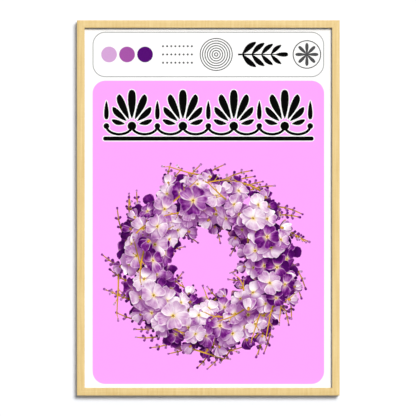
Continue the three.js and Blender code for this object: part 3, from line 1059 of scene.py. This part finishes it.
def foreshortened(angle, share):
    """The matrix that shortens everything along a direction, as on a flower turned away."""
    return np.eye(2) - (1 - share) * np.outer(heading(angle), heading(angle))


def placed(outline, root, matrix):
    """An outline turned and scaled by a matrix and moved to its root."""
    return [tuple(np.array(root) + matrix @ np.array(point)) for point in outline]


class Drawing:
    """Shapes laid over each other, the last on top, in groups that each grow from one point."""

    def __init__(self):
        self.shapes = []
        self.groups = []

    def start_group(self, middle, size=1, lean=(0, 0), shadow=0):
        """Begin what grows from a point."""
        self.groups.append(Group(middle, size, np.array(lean), shadow))

    def lay(self, outline, ink, group=None, root=None, matrix=None, look=None):
        """Lay an outline, with its points put in anticlockwise order."""
        xs, zs = np.array(outline).T
        anticlockwise = np.dot(xs, np.roll(zs, -1)) > np.dot(zs, np.roll(xs, -1))
        self.shapes.append(Shape(outline if anticlockwise else outline[::-1], ink, group, root, matrix, look))

    def lay_petal(self, root, matrix, outline, look):
        """Lay a shaded petal, drawn from (0, 0) to (1, 0), in the group that is being drawn."""
        self.lay(placed(outline, root, matrix), None, len(self.groups) - 1, root, matrix, look)

    def lay_part(self, root, matrix, outline, ink):
        """Lay a flat outline in the group that is being drawn."""
        self.lay(placed(outline, root, matrix), ink, len(self.groups) - 1)


def any_tone(rng):
    """Mostly pale petals, some violet and a few deep purple."""
    kind = rng.random()
    if kind < 0.56:
        return rng.uniform(0.02, 0.3)
    if kind < 0.8:
        return rng.uniform(0.3, 0.55)
    return rng.uniform(0.62, 0.85)


def draw_open_flower(drawing, rng, middle, size, tilt, tone):
    """A flower seen from the front: five broad petals round a golden heart."""
    start = rng.uniform(0, 2 * math.pi)
    for k in (0, 2, 4, 1, 3):
        angle = start + k * 2 * math.pi / 5 + rng.uniform(-0.14, 0.14)
        matrix = tilt @ turned(angle, size * rng.uniform(0.86, 1.08), size * rng.uniform(0.86, 1.04))
        outline = petal_outline(9, rng.uniform(0.02, 0.13), 0.05, rng.uniform(0, 2 * math.pi))
        cast = tone + rng.uniform(-0.14, 0.14)
        look = Look(cast, rng.uniform(-0.4, 1.2), rng.uniform(-1, 1), rng.random())
        drawing.lay_petal(middle, matrix, outline, look)
    heart = size * 0.12
    drawing.lay_part(middle, tilt, circle((0, 0), heart, 10), DARK_GOLD)
    for k in range(5):
        spot = 0.9 * heart * heading(start + (k + 0.5) * 2 * math.pi / 5)
        drawing.lay_part(middle, tilt, circle(spot, size * 0.05, 6), PALE_GOLD)


def draw_side_flower(drawing, rng, root, angle, size, tone):
    """A flower seen from the side: petals fanned out of a golden cup, the front ones paler."""
    fan = ((-0.62, 0.86, 0.45), (0.62, 0.86, 0.45), (-0.26, 0.98, 0.15), (0.3, 0.92, 0.0))
    for lean, share, deeper in fan:
        matrix = turned(angle + lean + rng.uniform(-0.1, 0.1), size * share, size * 0.62)
        look = Look(tone + deeper, rng.uniform(0, 1), math.copysign(0.9, lean), rng.random())
        drawing.lay_petal(root, matrix, petal_outline(8, 0.05, 0.05, rng.uniform(0, 6)), look)
    for long, wide, ink in ((0.3, 0.2, DARK_GOLD), (0.24, 0.12, GOLD)):
        drawing.lay_part(root, turned(angle, size * long, size * wide), petal_outline(5), ink)


def draw_bud(drawing, rng, root, angle, size, tone):
    """A closed bud in its small golden cup."""
    look = Look(tone, 0.6, rng.uniform(-0.8, 0.8), rng.random())
    drawing.lay_petal(root, turned(angle, size, size * 0.62), petal_outline(6), look)
    drawing.lay_part(root, turned(angle, size * 0.34, size * 0.4), petal_outline(4), DARK_GOLD)


def draw_stem(drawing, line, width):
    """A tapering stem through a list of points, with a shaded edge."""
    line = np.array(line)
    ahead = np.gradient(line, axis=0)
    side = np.stack([-ahead[:, 1], ahead[:, 0]], axis=1) / np.linalg.norm(ahead, axis=1)[:, None]
    half = 0.5 * width * np.linspace(1, 0.5, len(line))[:, None]
    for reach, ink in ((1, DARK_GOLD), (0.45, GOLD)):
        outline = [*(line + side * half * reach), *(line - side * half)[::-1]]
        drawing.lay_part((0, 0), np.eye(2), outline, ink)


class Wreath:
    """The ring that the flowers stand on."""

    def __init__(self, middle, ring, tube):
        self.middle = np.array(middle)
        self.ring = ring
        self.tube = tube

    def at(self, turn, offset):
        """A point at an angle round the ring; offset is -1 at its inner edge and 1 at its outer."""
        return self.middle + (self.ring + offset * self.tube) * heading(turn)

    def spread(self, rng, count, reach, taken):
        """Places on the ring, each the farthest of several random ones from those before it."""
        places = []
        while len(places) < count:
            tries = [(rng.uniform(0, 2 * math.pi), rng.uniform(-reach, reach)) for _ in range(TRIES)]
            spots = [self.at(*place) for place in tries]
            gaps = [min((np.linalg.norm(spot - other) for other in taken), default=0) for spot in spots]
            best = gaps.index(max(gaps))
            places.append(tries[best])
            taken.append(spots[best])
        return places


def draw_twigs(drawing, rng, wreath, count):
    """Curved twigs that stand out of the wreath, every fifth inwards, with buds in pairs to the tip."""
    steps = 8
    for i in range(count):
        turn = 2 * math.pi * (i + rng.uniform(-0.3, 0.3)) / count
        way, least, most, curl = (-1, 1.1, 1.3, 1.6) if i % 5 == 2 else (1, 1.15, 1.45, 1)
        reach = way * rng.uniform(least, most)
        bend = rng.uniform(0.18, 0.4) * curl
        line = [wreath.at(turn - bend * (k / steps) ** 1.6, reach * k / steps) for k in range(steps + 1)]
        drawing.start_group(line[0])
        draw_stem(drawing, line, TWIG_WIDTH)
        for step in range(steps // 2, steps + 1):
            ahead = line[step] - line[step - 1]
            angle = math.atan2(ahead[1], ahead[0])
            for side in (-1, 1) if step < steps else (0,):
                size = rng.uniform(12, 17) * (1.5 - 0.1 * step)
                lean = side * rng.uniform(0.6, 1.0)
                draw_bud(drawing, rng, line[step], angle + lean, size, rng.uniform(0.4, 0.85))


def draw_runner(drawing, rng, wreath, turn, offset):
    """A golden stem that winds along the wreath from under a flower, with three short shoots."""
    way = rng.choice((-1, 1))
    sweep, drift = way * rng.uniform(0.34, 0.55), rng.uniform(-0.6, 0.6)
    steps = 10
    line = [wreath.at(turn + sweep * k / steps, offset + drift * (k / steps) ** 2) for k in range(steps + 1)]
    drawing.start_group(line[0])
    draw_stem(drawing, line, RUNNER_WIDTH)
    for step, lean in ((5, 0.7), (7, -0.6), (steps, 0.1)):
        ahead = line[step] - line[step - 1]
        angle = math.atan2(ahead[1], ahead[0]) + way * lean
        shoot = [line[step] + reach * heading(angle + reach / 60) for reach in (0, 6, 12)]
        draw_stem(drawing, shoot, SHOOT_WIDTH)
        draw_bud(drawing, rng, shoot[-1], angle, rng.uniform(9, 13), rng.uniform(0.2, 0.6))


def draw_wreath(drawing, rng, wreath, values):
    """Twigs, then dark petals to fill the depth, then flowers from the edges to the crest."""
    draw_twigs(drawing, rng, wreath, values.twigs)
    for turn, offset in wreath.spread(rng, FILLERS, FILLER_REACH, []):
        spot = wreath.at(turn, offset)
        drawing.start_group(spot, 20, offset * heading(turn))
        matrix = turned(rng.uniform(0, 2 * math.pi), rng.uniform(30, 40), rng.uniform(26, 34))
        look = Look(rng.uniform(0.75, 1.0), rng.uniform(-1, 1), rng.uniform(-1, 1), rng.random())
        drawing.lay_petal(spot - matrix[:, 0] / 2, matrix, petal_outline(7, 0.05, 0.06, offset), look)
    taken = []
    crest = [(*place, True) for place in wreath.spread(rng, values.blossoms, CREST_REACH, taken)]
    rims = [(*place, False) for place in wreath.spread(rng, values.blossoms // 2, RIM_REACH, taken)]
    flowers = sorted(crest + rims, key=lambda flower: rng.uniform(-0.3, 0.3) - abs(flower[1]))
    for number, (turn, offset, is_open) in enumerate(flowers):
        if number % 3 == 1:
            draw_runner(drawing, rng, wreath, turn, offset)
        spot = wreath.at(turn, offset)
        size = rng.uniform(33, 42) * (1 - 0.2 * abs(offset))
        drawing.start_group(spot, size, offset * heading(turn), FLOWER_SHADOW)
        if is_open:
            tilt = foreshortened(turn, math.cos(offset))
            tilt = tilt @ foreshortened(rng.uniform(0, 3), rng.uniform(0.7, 1))
            draw_open_flower(drawing, rng, spot, size, tilt, any_tone(rng))
        else:
            outwards = turn if offset > 0 else turn + math.pi
            angle = outwards + rng.uniform(-1.1, 1.1)
            draw_side_flower(drawing, rng, spot - 0.4 * size * heading(angle), angle, size, any_tone(rng))


def palmette(root, height):
    """The leaves of a palmette: a fan of seven that curl outwards over a round heart."""
    leaves = [circle(root, 0.12 * height, 28)]
    for degrees, long, wide in ((0, 0.8, 0.22), (24, 0.73, 0.2), (47, 0.52, 0.17), (74, 0.36, 0.14)):
        for side in (1, -1) if degrees else (1,):
            lean = math.radians(degrees) * side
            angle = math.pi / 2 - lean
            foot = np.array(root) + 0.2 * height * heading(angle)
            outline = bent(petal_outline(10), -0.4 * lean)
            leaves.append(placed(outline, foot, turned(angle, long * height, wide * height)))
    return leaves


def spear(root, height):
    """The slim pointed bud that stands on a ball between two palmettes."""
    tip = np.array(root) + height * np.array([0, 0.7])
    down = turned(-math.pi / 2, 0.52 * height, 0.13 * height)
    return [circle(root, 0.08 * height, 20), placed(petal_outline(10), tip, down)]


def sprig(root, reach, height, pairs=4):
    """A laurel sprig that lies level: a stem, pairs of leaves that shrink along it, and an end leaf."""
    root = np.array(root)
    stem = 4.4
    line = [(0, -stem / 2), (reach * 0.82, -stem / 4), (reach * 0.82, stem / 4), (0, stem / 2)]
    leaves = [placed(line, root, np.eye(2))]
    for pair in range(pairs):
        foot = root + np.array([reach * (0.08 + 0.19 * pair), 0])
        size = height * (0.62 - 0.05 * pair)
        for side in (-1, 1):
            outline = bent(petal_outline(10), 0.5 * side)
            leaves.append(placed(outline, foot, turned(side * 0.75, size, size * 0.32)))
    tip = root + np.array([reach * 0.74, 0])
    leaves.append(placed(petal_outline(10), tip, turned(0, reach * 0.26, height * 0.16)))
    return leaves


def garland(left, right, drop, thickness, steps=16):
    """A band that hangs between two roots as half an ellipse."""
    middle = (np.array(left) + np.array(right)) / 2
    half = (right[0] - left[0]) / 2
    band = []
    for way, grow in ((1, thickness / 2), (-1, -thickness / 2)):
        for turn in [math.pi * (1 + k / steps) for k in range(steps + 1)][::way]:
            across, up = (half + grow) * math.cos(turn), (drop + grow) * math.sin(turn)
            band.append((middle[0] + across, middle[1] + up))
    return band


def draw_frieze(drawing, low, high, values):
    """A border of palmettes and spears by turns, hung with garlands over a plain bar."""
    paper, black = tuple(values.paper), tuple(values.black)
    count, bar, overhang, clear, drop, thickness, edge = 4, 11, 9, 6, 22, 7, 2.4
    pitch = (high[0] - low[0]) / count
    ground = low[1] + bar + clear + drop
    tall = high[1] - ground
    bar_low, bar_high = (low[0] - overhang, low[1]), (high[0] + overhang, low[1] + bar)
    parts = [rounded_box(bar_low, bar_high, bar / 2 - 0.5, 5)]
    for i in range(2 * count):
        left, right = ((low[0] + k * pitch / 2, ground) for k in (i, i + 1))
        parts.append(garland(left, right, drop, thickness))
    for i in range(count + 1):
        parts.extend(spear((low[0] + i * pitch, ground), tall))
    for i in range(count):
        parts.extend(palmette((low[0] + (i + 0.5) * pitch, ground), tall))
    for part in parts:
        drawing.lay(grown(part, edge), paper)
    for part in parts:
        drawing.lay(part, black)


def draw_strip(drawing, low, high, radius, values):
    """The outlined strip: discs, a dotted field, fine rings, a dark sprig and a star of leaves."""
    paper = tuple(values.paper)
    line, left, right, level = 2.4, low[0], high[0], (low[1] + high[1]) / 2
    drawing.lay(rounded_box(low, high, radius), tuple(values.hairline))
    drawing.lay(rounded_box(low + line, high - line, radius - line), paper)
    disc, disc_pitch = 21, 48
    for i, ink in enumerate((values.lilac, values.violet, values.purple)):
        drawing.lay(circle((left + 44 + i * disc_pitch, level), disc), tuple(ink))
    dot, dot_pitch, row_pitch = 2.7, 11, 22
    for row in (-1, 0, 1):
        for i in range(8):
            drawing.lay(circle((left + 188 + i * dot_pitch, level + row * row_pitch), dot, 12), LINE_GREY)
    ring, ring_pitch = 44, 6.4
    for i in range(7):
        for reach, ink in ((ring - i * ring_pitch, LINE_GREY), (ring - line - i * ring_pitch, paper)):
            drawing.lay(circle((left + 330, level), reach, 44), ink)
    for part in sprig((left + 388, level), reach=134, height=76):
        drawing.lay(part, tuple(values.black))
    star, star_ring, leaf = (right - 46, level), 38, (31, 9)
    drawing.lay(circle(star, star_ring), LINE_GREY)
    drawing.lay(circle(star, star_ring - 2.6), paper)
    for i in range(8):
        drawing.lay(placed(petal_outline(6), star, turned(i * math.pi / 4, *leaf)), LINE_GREY)


def draw_poster(values):
    """The whole design, and the points added inside the wreath for its soft shading."""
    rng = random.Random(values.seed)
    drawing = Drawing()
    size = (SHEET_HIGH - SHEET_LOW) / MM
    sheet = [(x * size.x / 2, z * size.z / 2) for x, z in ((-1, -1), (1, -1), (1, 1), (-1, 1))]
    drawing.lay(sheet, tuple(values.paper))
    right = (FRAME_HIGH.x - FACE_WIDTH - values.side_margin) / MM
    top = (FRAME_HIGH.z - FACE_WIDTH - values.end_margin) / MM
    strip_low = top - values.strip_height / MM
    panel_top = strip_low - values.strip_gap / MM
    radius = values.corner_radius / MM
    draw_strip(drawing, np.array([-right, strip_low]), np.array([right, top]), radius, values)
    drawing.lay(rounded_box((-right, -top), (right, panel_top), radius), tuple(values.panel))
    frieze_half, frieze_low, frieze_high = 272, panel_top - 160, panel_top - 24
    draw_frieze(drawing, (-frieze_half, frieze_low), (frieze_half, frieze_high), values)
    wreath = Wreath((0, -148), ring=168, tube=78)
    draw_wreath(drawing, rng, wreath, values)
    count = int((wreath.ring + GRID_REACH * wreath.tube) / SHADING_STEP)
    grain = []
    for i in range(-count, count + 1):
        for j in range(-count, count + 1):
            spot = SHADING_STEP * np.array([i + rng.uniform(-0.3, 0.3), j + rng.uniform(-0.3, 0.3)])
            if abs(np.linalg.norm(spot) - wreath.ring) < SHADING_REACH * wreath.tube:
                grain.append(wreath.middle + spot)
    return drawing, grain


def print_mesh(name, values):
    """The sheet as one closed mesh: its front is divided along every printed outline."""
    drawing, grain = draw_poster(values)
    points, faces = [], []
    for shape in drawing.shapes:
        faces.append(list(range(len(points), len(points) + len(shape.outline))))
        points.extend(Vector(point) for point in shape.outline)
    points.extend(Vector(point) for point in grain)
    divided = delaunay_2d_cdt(points, [], faces, KEEP_INSIDE, JOIN_DISTANCE)
    verts, _, triangles, _, _, origins = divided
    spots = np.array([tuple(vert) for vert in verts])
    corners = np.array(triangles)
    owner = np.array([max(origin) for origin in origins])
    a, b, c = (spots[corners[:, k]] for k in range(3))
    clockwise = np.cross(b - a, c - a) < 0
    corners[clockwise] = corners[clockwise][:, ::-1]

    centre = (SHEET_LOW + SHEET_HIGH) / 2
    front = [(x * MM + centre.x, SHEET_LOW.y, z * MM + centre.z) for x, z in spots]
    outer = [int(np.abs(spots - p).sum(axis=1).argmin()) for p in np.array(drawing.shapes[0].outline)]
    back = [(front[i][0], SHEET_HIGH.y, front[i][2]) for i in outer]
    base = len(front)
    sides = [(outer[k], base + k, base + (k + 1) % 4, outer[(k + 1) % 4]) for k in range(4)]
    mesh = bpy.data.meshes.new(name)
    mesh.from_pydata(front + back, [], [*corners.tolist(), *sides, range(base + 3, base - 1, -1)])

    uv, look, ink = shade_corners(drawing, spots[corners].reshape(-1, 2), np.repeat(owner, 3))
    for title, given, width, rest in (("petal", uv, 2, 0.0), ("look", look, 4, 1.0), ("ink", ink, 4, 1.0)):
        data = np.full((len(mesh.loops), width), rest, np.float32)
        data[: len(given), : given.shape[1]] = given
        if title == "petal":
            mesh.uv_layers.new(name=title).data.foreach_set("uv", data.ravel())
        else:
            mesh.attributes.new(title, "FLOAT_COLOR", "CORNER").data.foreach_set("color", data.ravel())
    is_petal = np.array([shape.matrix is not None for shape in drawing.shapes])
    slots = np.zeros(len(mesh.polygons), np.int32)
    slots[: len(corners)] = is_petal[owner]
    mesh.polygons.foreach_set("material_index", slots)
    mesh.update()
    return mesh


def smooth_step(value, low, high):
    """A rise from 0 to 1 between two values, level at both ends."""
    share = np.clip((value - low) / (high - low), 0, 1)
    return share * share * (3 - 2 * share)


def shade_corners(drawing, spots, owner):
    """For each corner of the print: its place on its petal, its look and its ink."""
    uv, light = np.zeros((len(spots), 2)), np.ones(len(spots))
    look, ink = np.ones((len(spots), 3)), np.ones((len(spots), 3))
    order = np.argsort(owner, kind="stable")
    starts = np.searchsorted(owner[order], np.arange(len(drawing.shapes) + 1))
    groups = [-1 if shape.group is None else shape.group for shape in drawing.shapes]
    first = {}
    for index, group in enumerate(groups):
        first.setdefault(group, index)

    # Each group's shadow falls to the lower left, on all that was laid before it in the wreath
    wreath_start = starts[first[0]]
    for index, group in enumerate(drawing.groups):
        if group.shadow:
            below = order[wreath_start : starts[first[index]]]
            away = spots[below] - group.middle + FLOWER_SLIP * group.size * LIGHT_FROM
            distance = np.linalg.norm(away, axis=1) / group.size
            light[below] *= 1 - group.shadow * (1 - smooth_step(distance, *FLOWER_FADE))

    for index, shape in enumerate(drawing.shapes):
        rows = order[starts[index] : starts[index + 1]]
        if shape.matrix is None:
            ink[rows] = shape.ink
            continue
        inverse = np.linalg.inv(shape.matrix).T
        # The petal's own shadow on those of its flower that it lies over
        beneath = order[starts[first[shape.group]] : starts[index]]
        slip = PETAL_SLIP * np.linalg.norm(shape.matrix[:, 0]) * LIGHT_FROM
        away = (spots[beneath] - shape.root + slip) @ inverse
        distance = np.hypot((away[:, 0] - PETAL_MIDDLE) / PETAL_HALF, away[:, 1] / PETAL_HALF)
        light[beneath] *= 1 - PETAL_SHADOW * (1 - smooth_step(distance, *PETAL_FADE))
        local = (spots[rows] - shape.root) @ inverse
        along, across = (shape.matrix[:, k] / np.linalg.norm(shape.matrix[:, k]) for k in (0, 1))
        facing = (
            np.outer(2 * shape.look.cup * (0.5 - local[:, 0]), along)
            + np.outer(2 * shape.look.roll * local[:, 1], across)
            + OUTWARD_SLOPE * drawing.groups[shape.group].lean
        )
        light[rows] *= LEVEL_LIGHT + SLOPE_LIGHT * facing @ LIGHT_FROM
        uv[rows] = local
        look[rows, 0] = shape.look.tone
        look[rows, 2] = shape.look.sort
    light = np.clip(light, 0, 1)
    look[:, 1] = light
    in_wreath = np.array(groups)[owner] >= 0
    ink[in_wreath] *= light[in_wreath][:, None]
    return uv, look, ink


class POSTER_OT_print(bpy.types.Operator):
    """Make the printed sheet"""

    bl_idname = "poster.print"
    bl_label = "Print"

    def execute(self, context):
        mesh = print_mesh("botanical_print", settings().sheet)
        sheet = bpy.data.objects.new("botanical_print", mesh)
        context.scene.collection.objects.link(sheet)
        mesh.materials.append(flat_ink_material())
        mesh.materials.append(petal_material())
        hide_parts("print_sheet")
        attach(sheet, "frame")
        return {"FINISHED"}


class POSTER_OT_flat_sheets(bpy.types.Operator):
    """Dress the glazing, the backing board and the corner nails, whose CAD shapes stay"""

    bl_idname = "poster.flat_sheets"
    bl_label = "Glazing, board and nails"

    def execute(self, context):
        steel = spring_steel_material()
        dresses = {"glazing_pane": acrylic_material(), "backing_board": hardboard_material()}
        for end, hand in CORNERS:
            for place in NAIL_INSETS:
                dresses[f"corner_nail_{end}_{hand}_{place}"] = steel
        for node, material in dresses.items():
            mesh = frame["nodes"][node].data
            mesh.materials.clear()
            mesh.materials.append(material)
        return {"FINISHED"}


# The stage


WALL_GAP = 0.3 * MM
COVE_SIZE = (16, 9, 1)
WALL_HEIGHT = 5
FLOOR_LEVEL = -0.85
COVE_RADIUS = 0.25
SENSOR_WIDTH = 36 * MM
# The photo's centre lies a hair left of the frame's and below it
AIM = Vector((-0.9, 0, -0.3)) * MM
# The light from straight below and from straight above, as shares of the ambient light
SKY_SHARES = (0.68, 1.32)
# The patch that the glazing mirrors is dark inside the first angle and gone at the second
PATCH_ANGLES = (18, 32)
PATCH_SHARE = 0.03


class POSTER_OT_stage(bpy.types.Operator):
    """Make the wall and floor, the lights, the world and the camera"""

    bl_idname = "poster.stage"
    bl_label = "Stage"

    def execute(self, context):
        values = settings().stage
        self.make_cove(values)
        self.make_lights(values)
        self.make_world(context, values)
        self.make_camera(context, values)
        context.scene.view_settings.view_transform = "Standard"
        return {"FINISHED"}

    def make_cove(self, values):
        """A floor that curves up into the wall. Only the camera sees it, and only from the front."""
        middle = (0, WALL_GAP - COVE_SIZE[1] / 2, FLOOR_LEVEL)
        begin(bpy.ops.mesh.primitive_plane_add, size=1, location=middle)
        bpy.ops.mesh.select_all(action="SELECT")
        scale_by(COVE_SIZE, middle)
        pick("EDGE", lambda edge: lies_at(edge, BACKWARDS, WALL_GAP))
        push((0, 0, WALL_HEIGHT))
        pick("EDGE", lambda edge: lies_at(edge, BACKWARDS, WALL_GAP) and lies_at(edge, UP, FLOOR_LEVEL))
        round_off(COVE_RADIUS, segments=12)
        cove = finish_edit("studio_cove", sharp_angle=60)
        if cove.data.polygons[0].normal.dot(UP - BACKWARDS) < 0:
            cove.data.flip_normals()
        material, tree = new_material("matt white paint, paler on the floor")
        place = add(tree, "TexCoord", output="Object")
        level = add(tree, "SeparateXYZ", {0: place}, "Z")
        limits = {"From Min": FLOOR_LEVEL, "From Max": FLOOR_LEVEL + COVE_RADIUS}
        raised = add(tree, "MapRange", {"Value": level, **limits})
        coat = add(tree, "Mix", {0: raised, 6: values.floor, 7: values.wall}, 2, data_type="RGBA")
        paint = add(tree, "BsdfDiffuse", {"Color": coat})
        clear = add(tree, "BsdfTransparent")
        behind = add(tree, "NewGeometry", output="Backfacing")
        both = add(tree, "MixShader", {0: behind, 1: paint, 2: clear})
        add(tree, "OutputMaterial", {"Surface": both})
        cove.data.materials.append(material)
        for ray in ("diffuse", "glossy", "transmission", "shadow"):
            setattr(cove, f"visible_{ray}", False)

    def make_lights(self, values):
        """A large soft key from the upper right, and a weaker light for the back."""
        for name, towards, strength, tint, spread in (
            ("key", Vector((0.35, -1, 0.46)), values.key, values.key_tint, 24),
            ("back_light", Vector((0.15, 1, 0.4)), values.back, (1, 1, 1), 40),
        ):
            bpy.ops.object.light_add(type="SUN", location=towards * 4)
            light = bpy.context.object
            light.name = name
            light.rotation_mode = "QUATERNION"
            light.rotation_quaternion = towards.to_track_quat("Z", "Y")
            light.data.energy = strength
            light.data.color = tint
            light.data.angle = math.radians(spread)

    def make_world(self, context, values):
        """Soft light, brighter from above, white to the camera, with a dark patch in front of the glazing."""
        world = bpy.data.worlds.new("studio")
        world.use_nodes = True
        context.scene.world = world
        tree = world.node_tree
        tree.nodes.clear()
        way = add(tree, "TexCoord", output="Generated")
        forwards = add(tree, "VectorMath", {0: way, 1: (0, -1, 0)}, "Value", operation="DOT_PRODUCT")
        dark, light = (math.cos(math.radians(angle)) for angle in PATCH_ANGLES)
        limits = {"From Min": light, "From Max": dark, "To Min": 1.0, "To Max": PATCH_SHARE}
        patch = add(tree, "MapRange", {"Value": forwards, **limits})
        height = add(tree, "SeparateXYZ", {0: way}, "Z")
        least, most = (share * values.ambient for share in SKY_SHARES)
        sky = add(tree, "MapRange", {"Value": height, "From Min": -1.0, "To Min": least, "To Max": most})
        strength = add(tree, "Math", {0: sky, 1: patch}, operation="MULTIPLY")
        soft = add(tree, "Background", {"Color": values.fill_tint, "Strength": strength})
        white = add(tree, "Background", {"Color": (1, 1, 1), "Strength": 1.0})
        seen = add(tree, "LightPath", output="Is Camera Ray")
        add(tree, "OutputWorld", {"Surface": add(tree, "MixShader", {0: seen, 1: soft, 2: white})})

    def make_camera(self, context, values):
        """Straight in front, with a long lens, and aimed a hair off the middle as in the photo."""
        distance = values.view_width * values.focal_length * MM / SENSOR_WIDTH
        place = AIM + (FRAME_LOW.y - distance) * BACKWARDS
        bpy.ops.object.camera_add(location=place, rotation=(math.pi / 2, 0, 0))
        camera = context.object
        camera.name = "camera"
        camera.data.lens = values.focal_length
        camera.data.clip_end = 100
        context.scene.camera = camera


OPERATORS = (
    POSTER_OT_stage,
    POSTER_OT_rails,
    POSTER_OT_print,
    POSTER_OT_flat_sheets,
    POSTER_OT_tabs,
    POSTER_OT_hangers,
    POSTER_OT_bumpers,
)


class POSTER_PT_panel(bpy.types.Panel):
    """The poster's pieces, each with a button that makes it"""

    bl_label = "Framed Poster"
    bl_idname = "POSTER_PT_panel"
    bl_space_type = "VIEW_3D"
    bl_region_type = "UI"
    bl_category = "Poster"

    def draw(self, context):
        for operator in OPERATORS:
            self.layout.operator(operator.bl_idname)


GROUPS = (RailSettings, PrintSettings, HardwareSettings, StageSettings, PosterSettings)
CLASSES = (*GROUPS, *OPERATORS, POSTER_PT_panel)


def register():
    for item in CLASSES:
        bpy.utils.register_class(item)
    bpy.types.Scene.framed_poster = PointerProperty(type=PosterSettings)


def unregister():
    del bpy.types.Scene.framed_poster
    for item in reversed(CLASSES):
        bpy.utils.unregister_class(item)


def main():
    register()
    for operator in OPERATORS:
        group, name = operator.bl_idname.split(".")
        getattr(getattr(bpy.ops, group), name)()


if __name__ == "__main__":
    main()
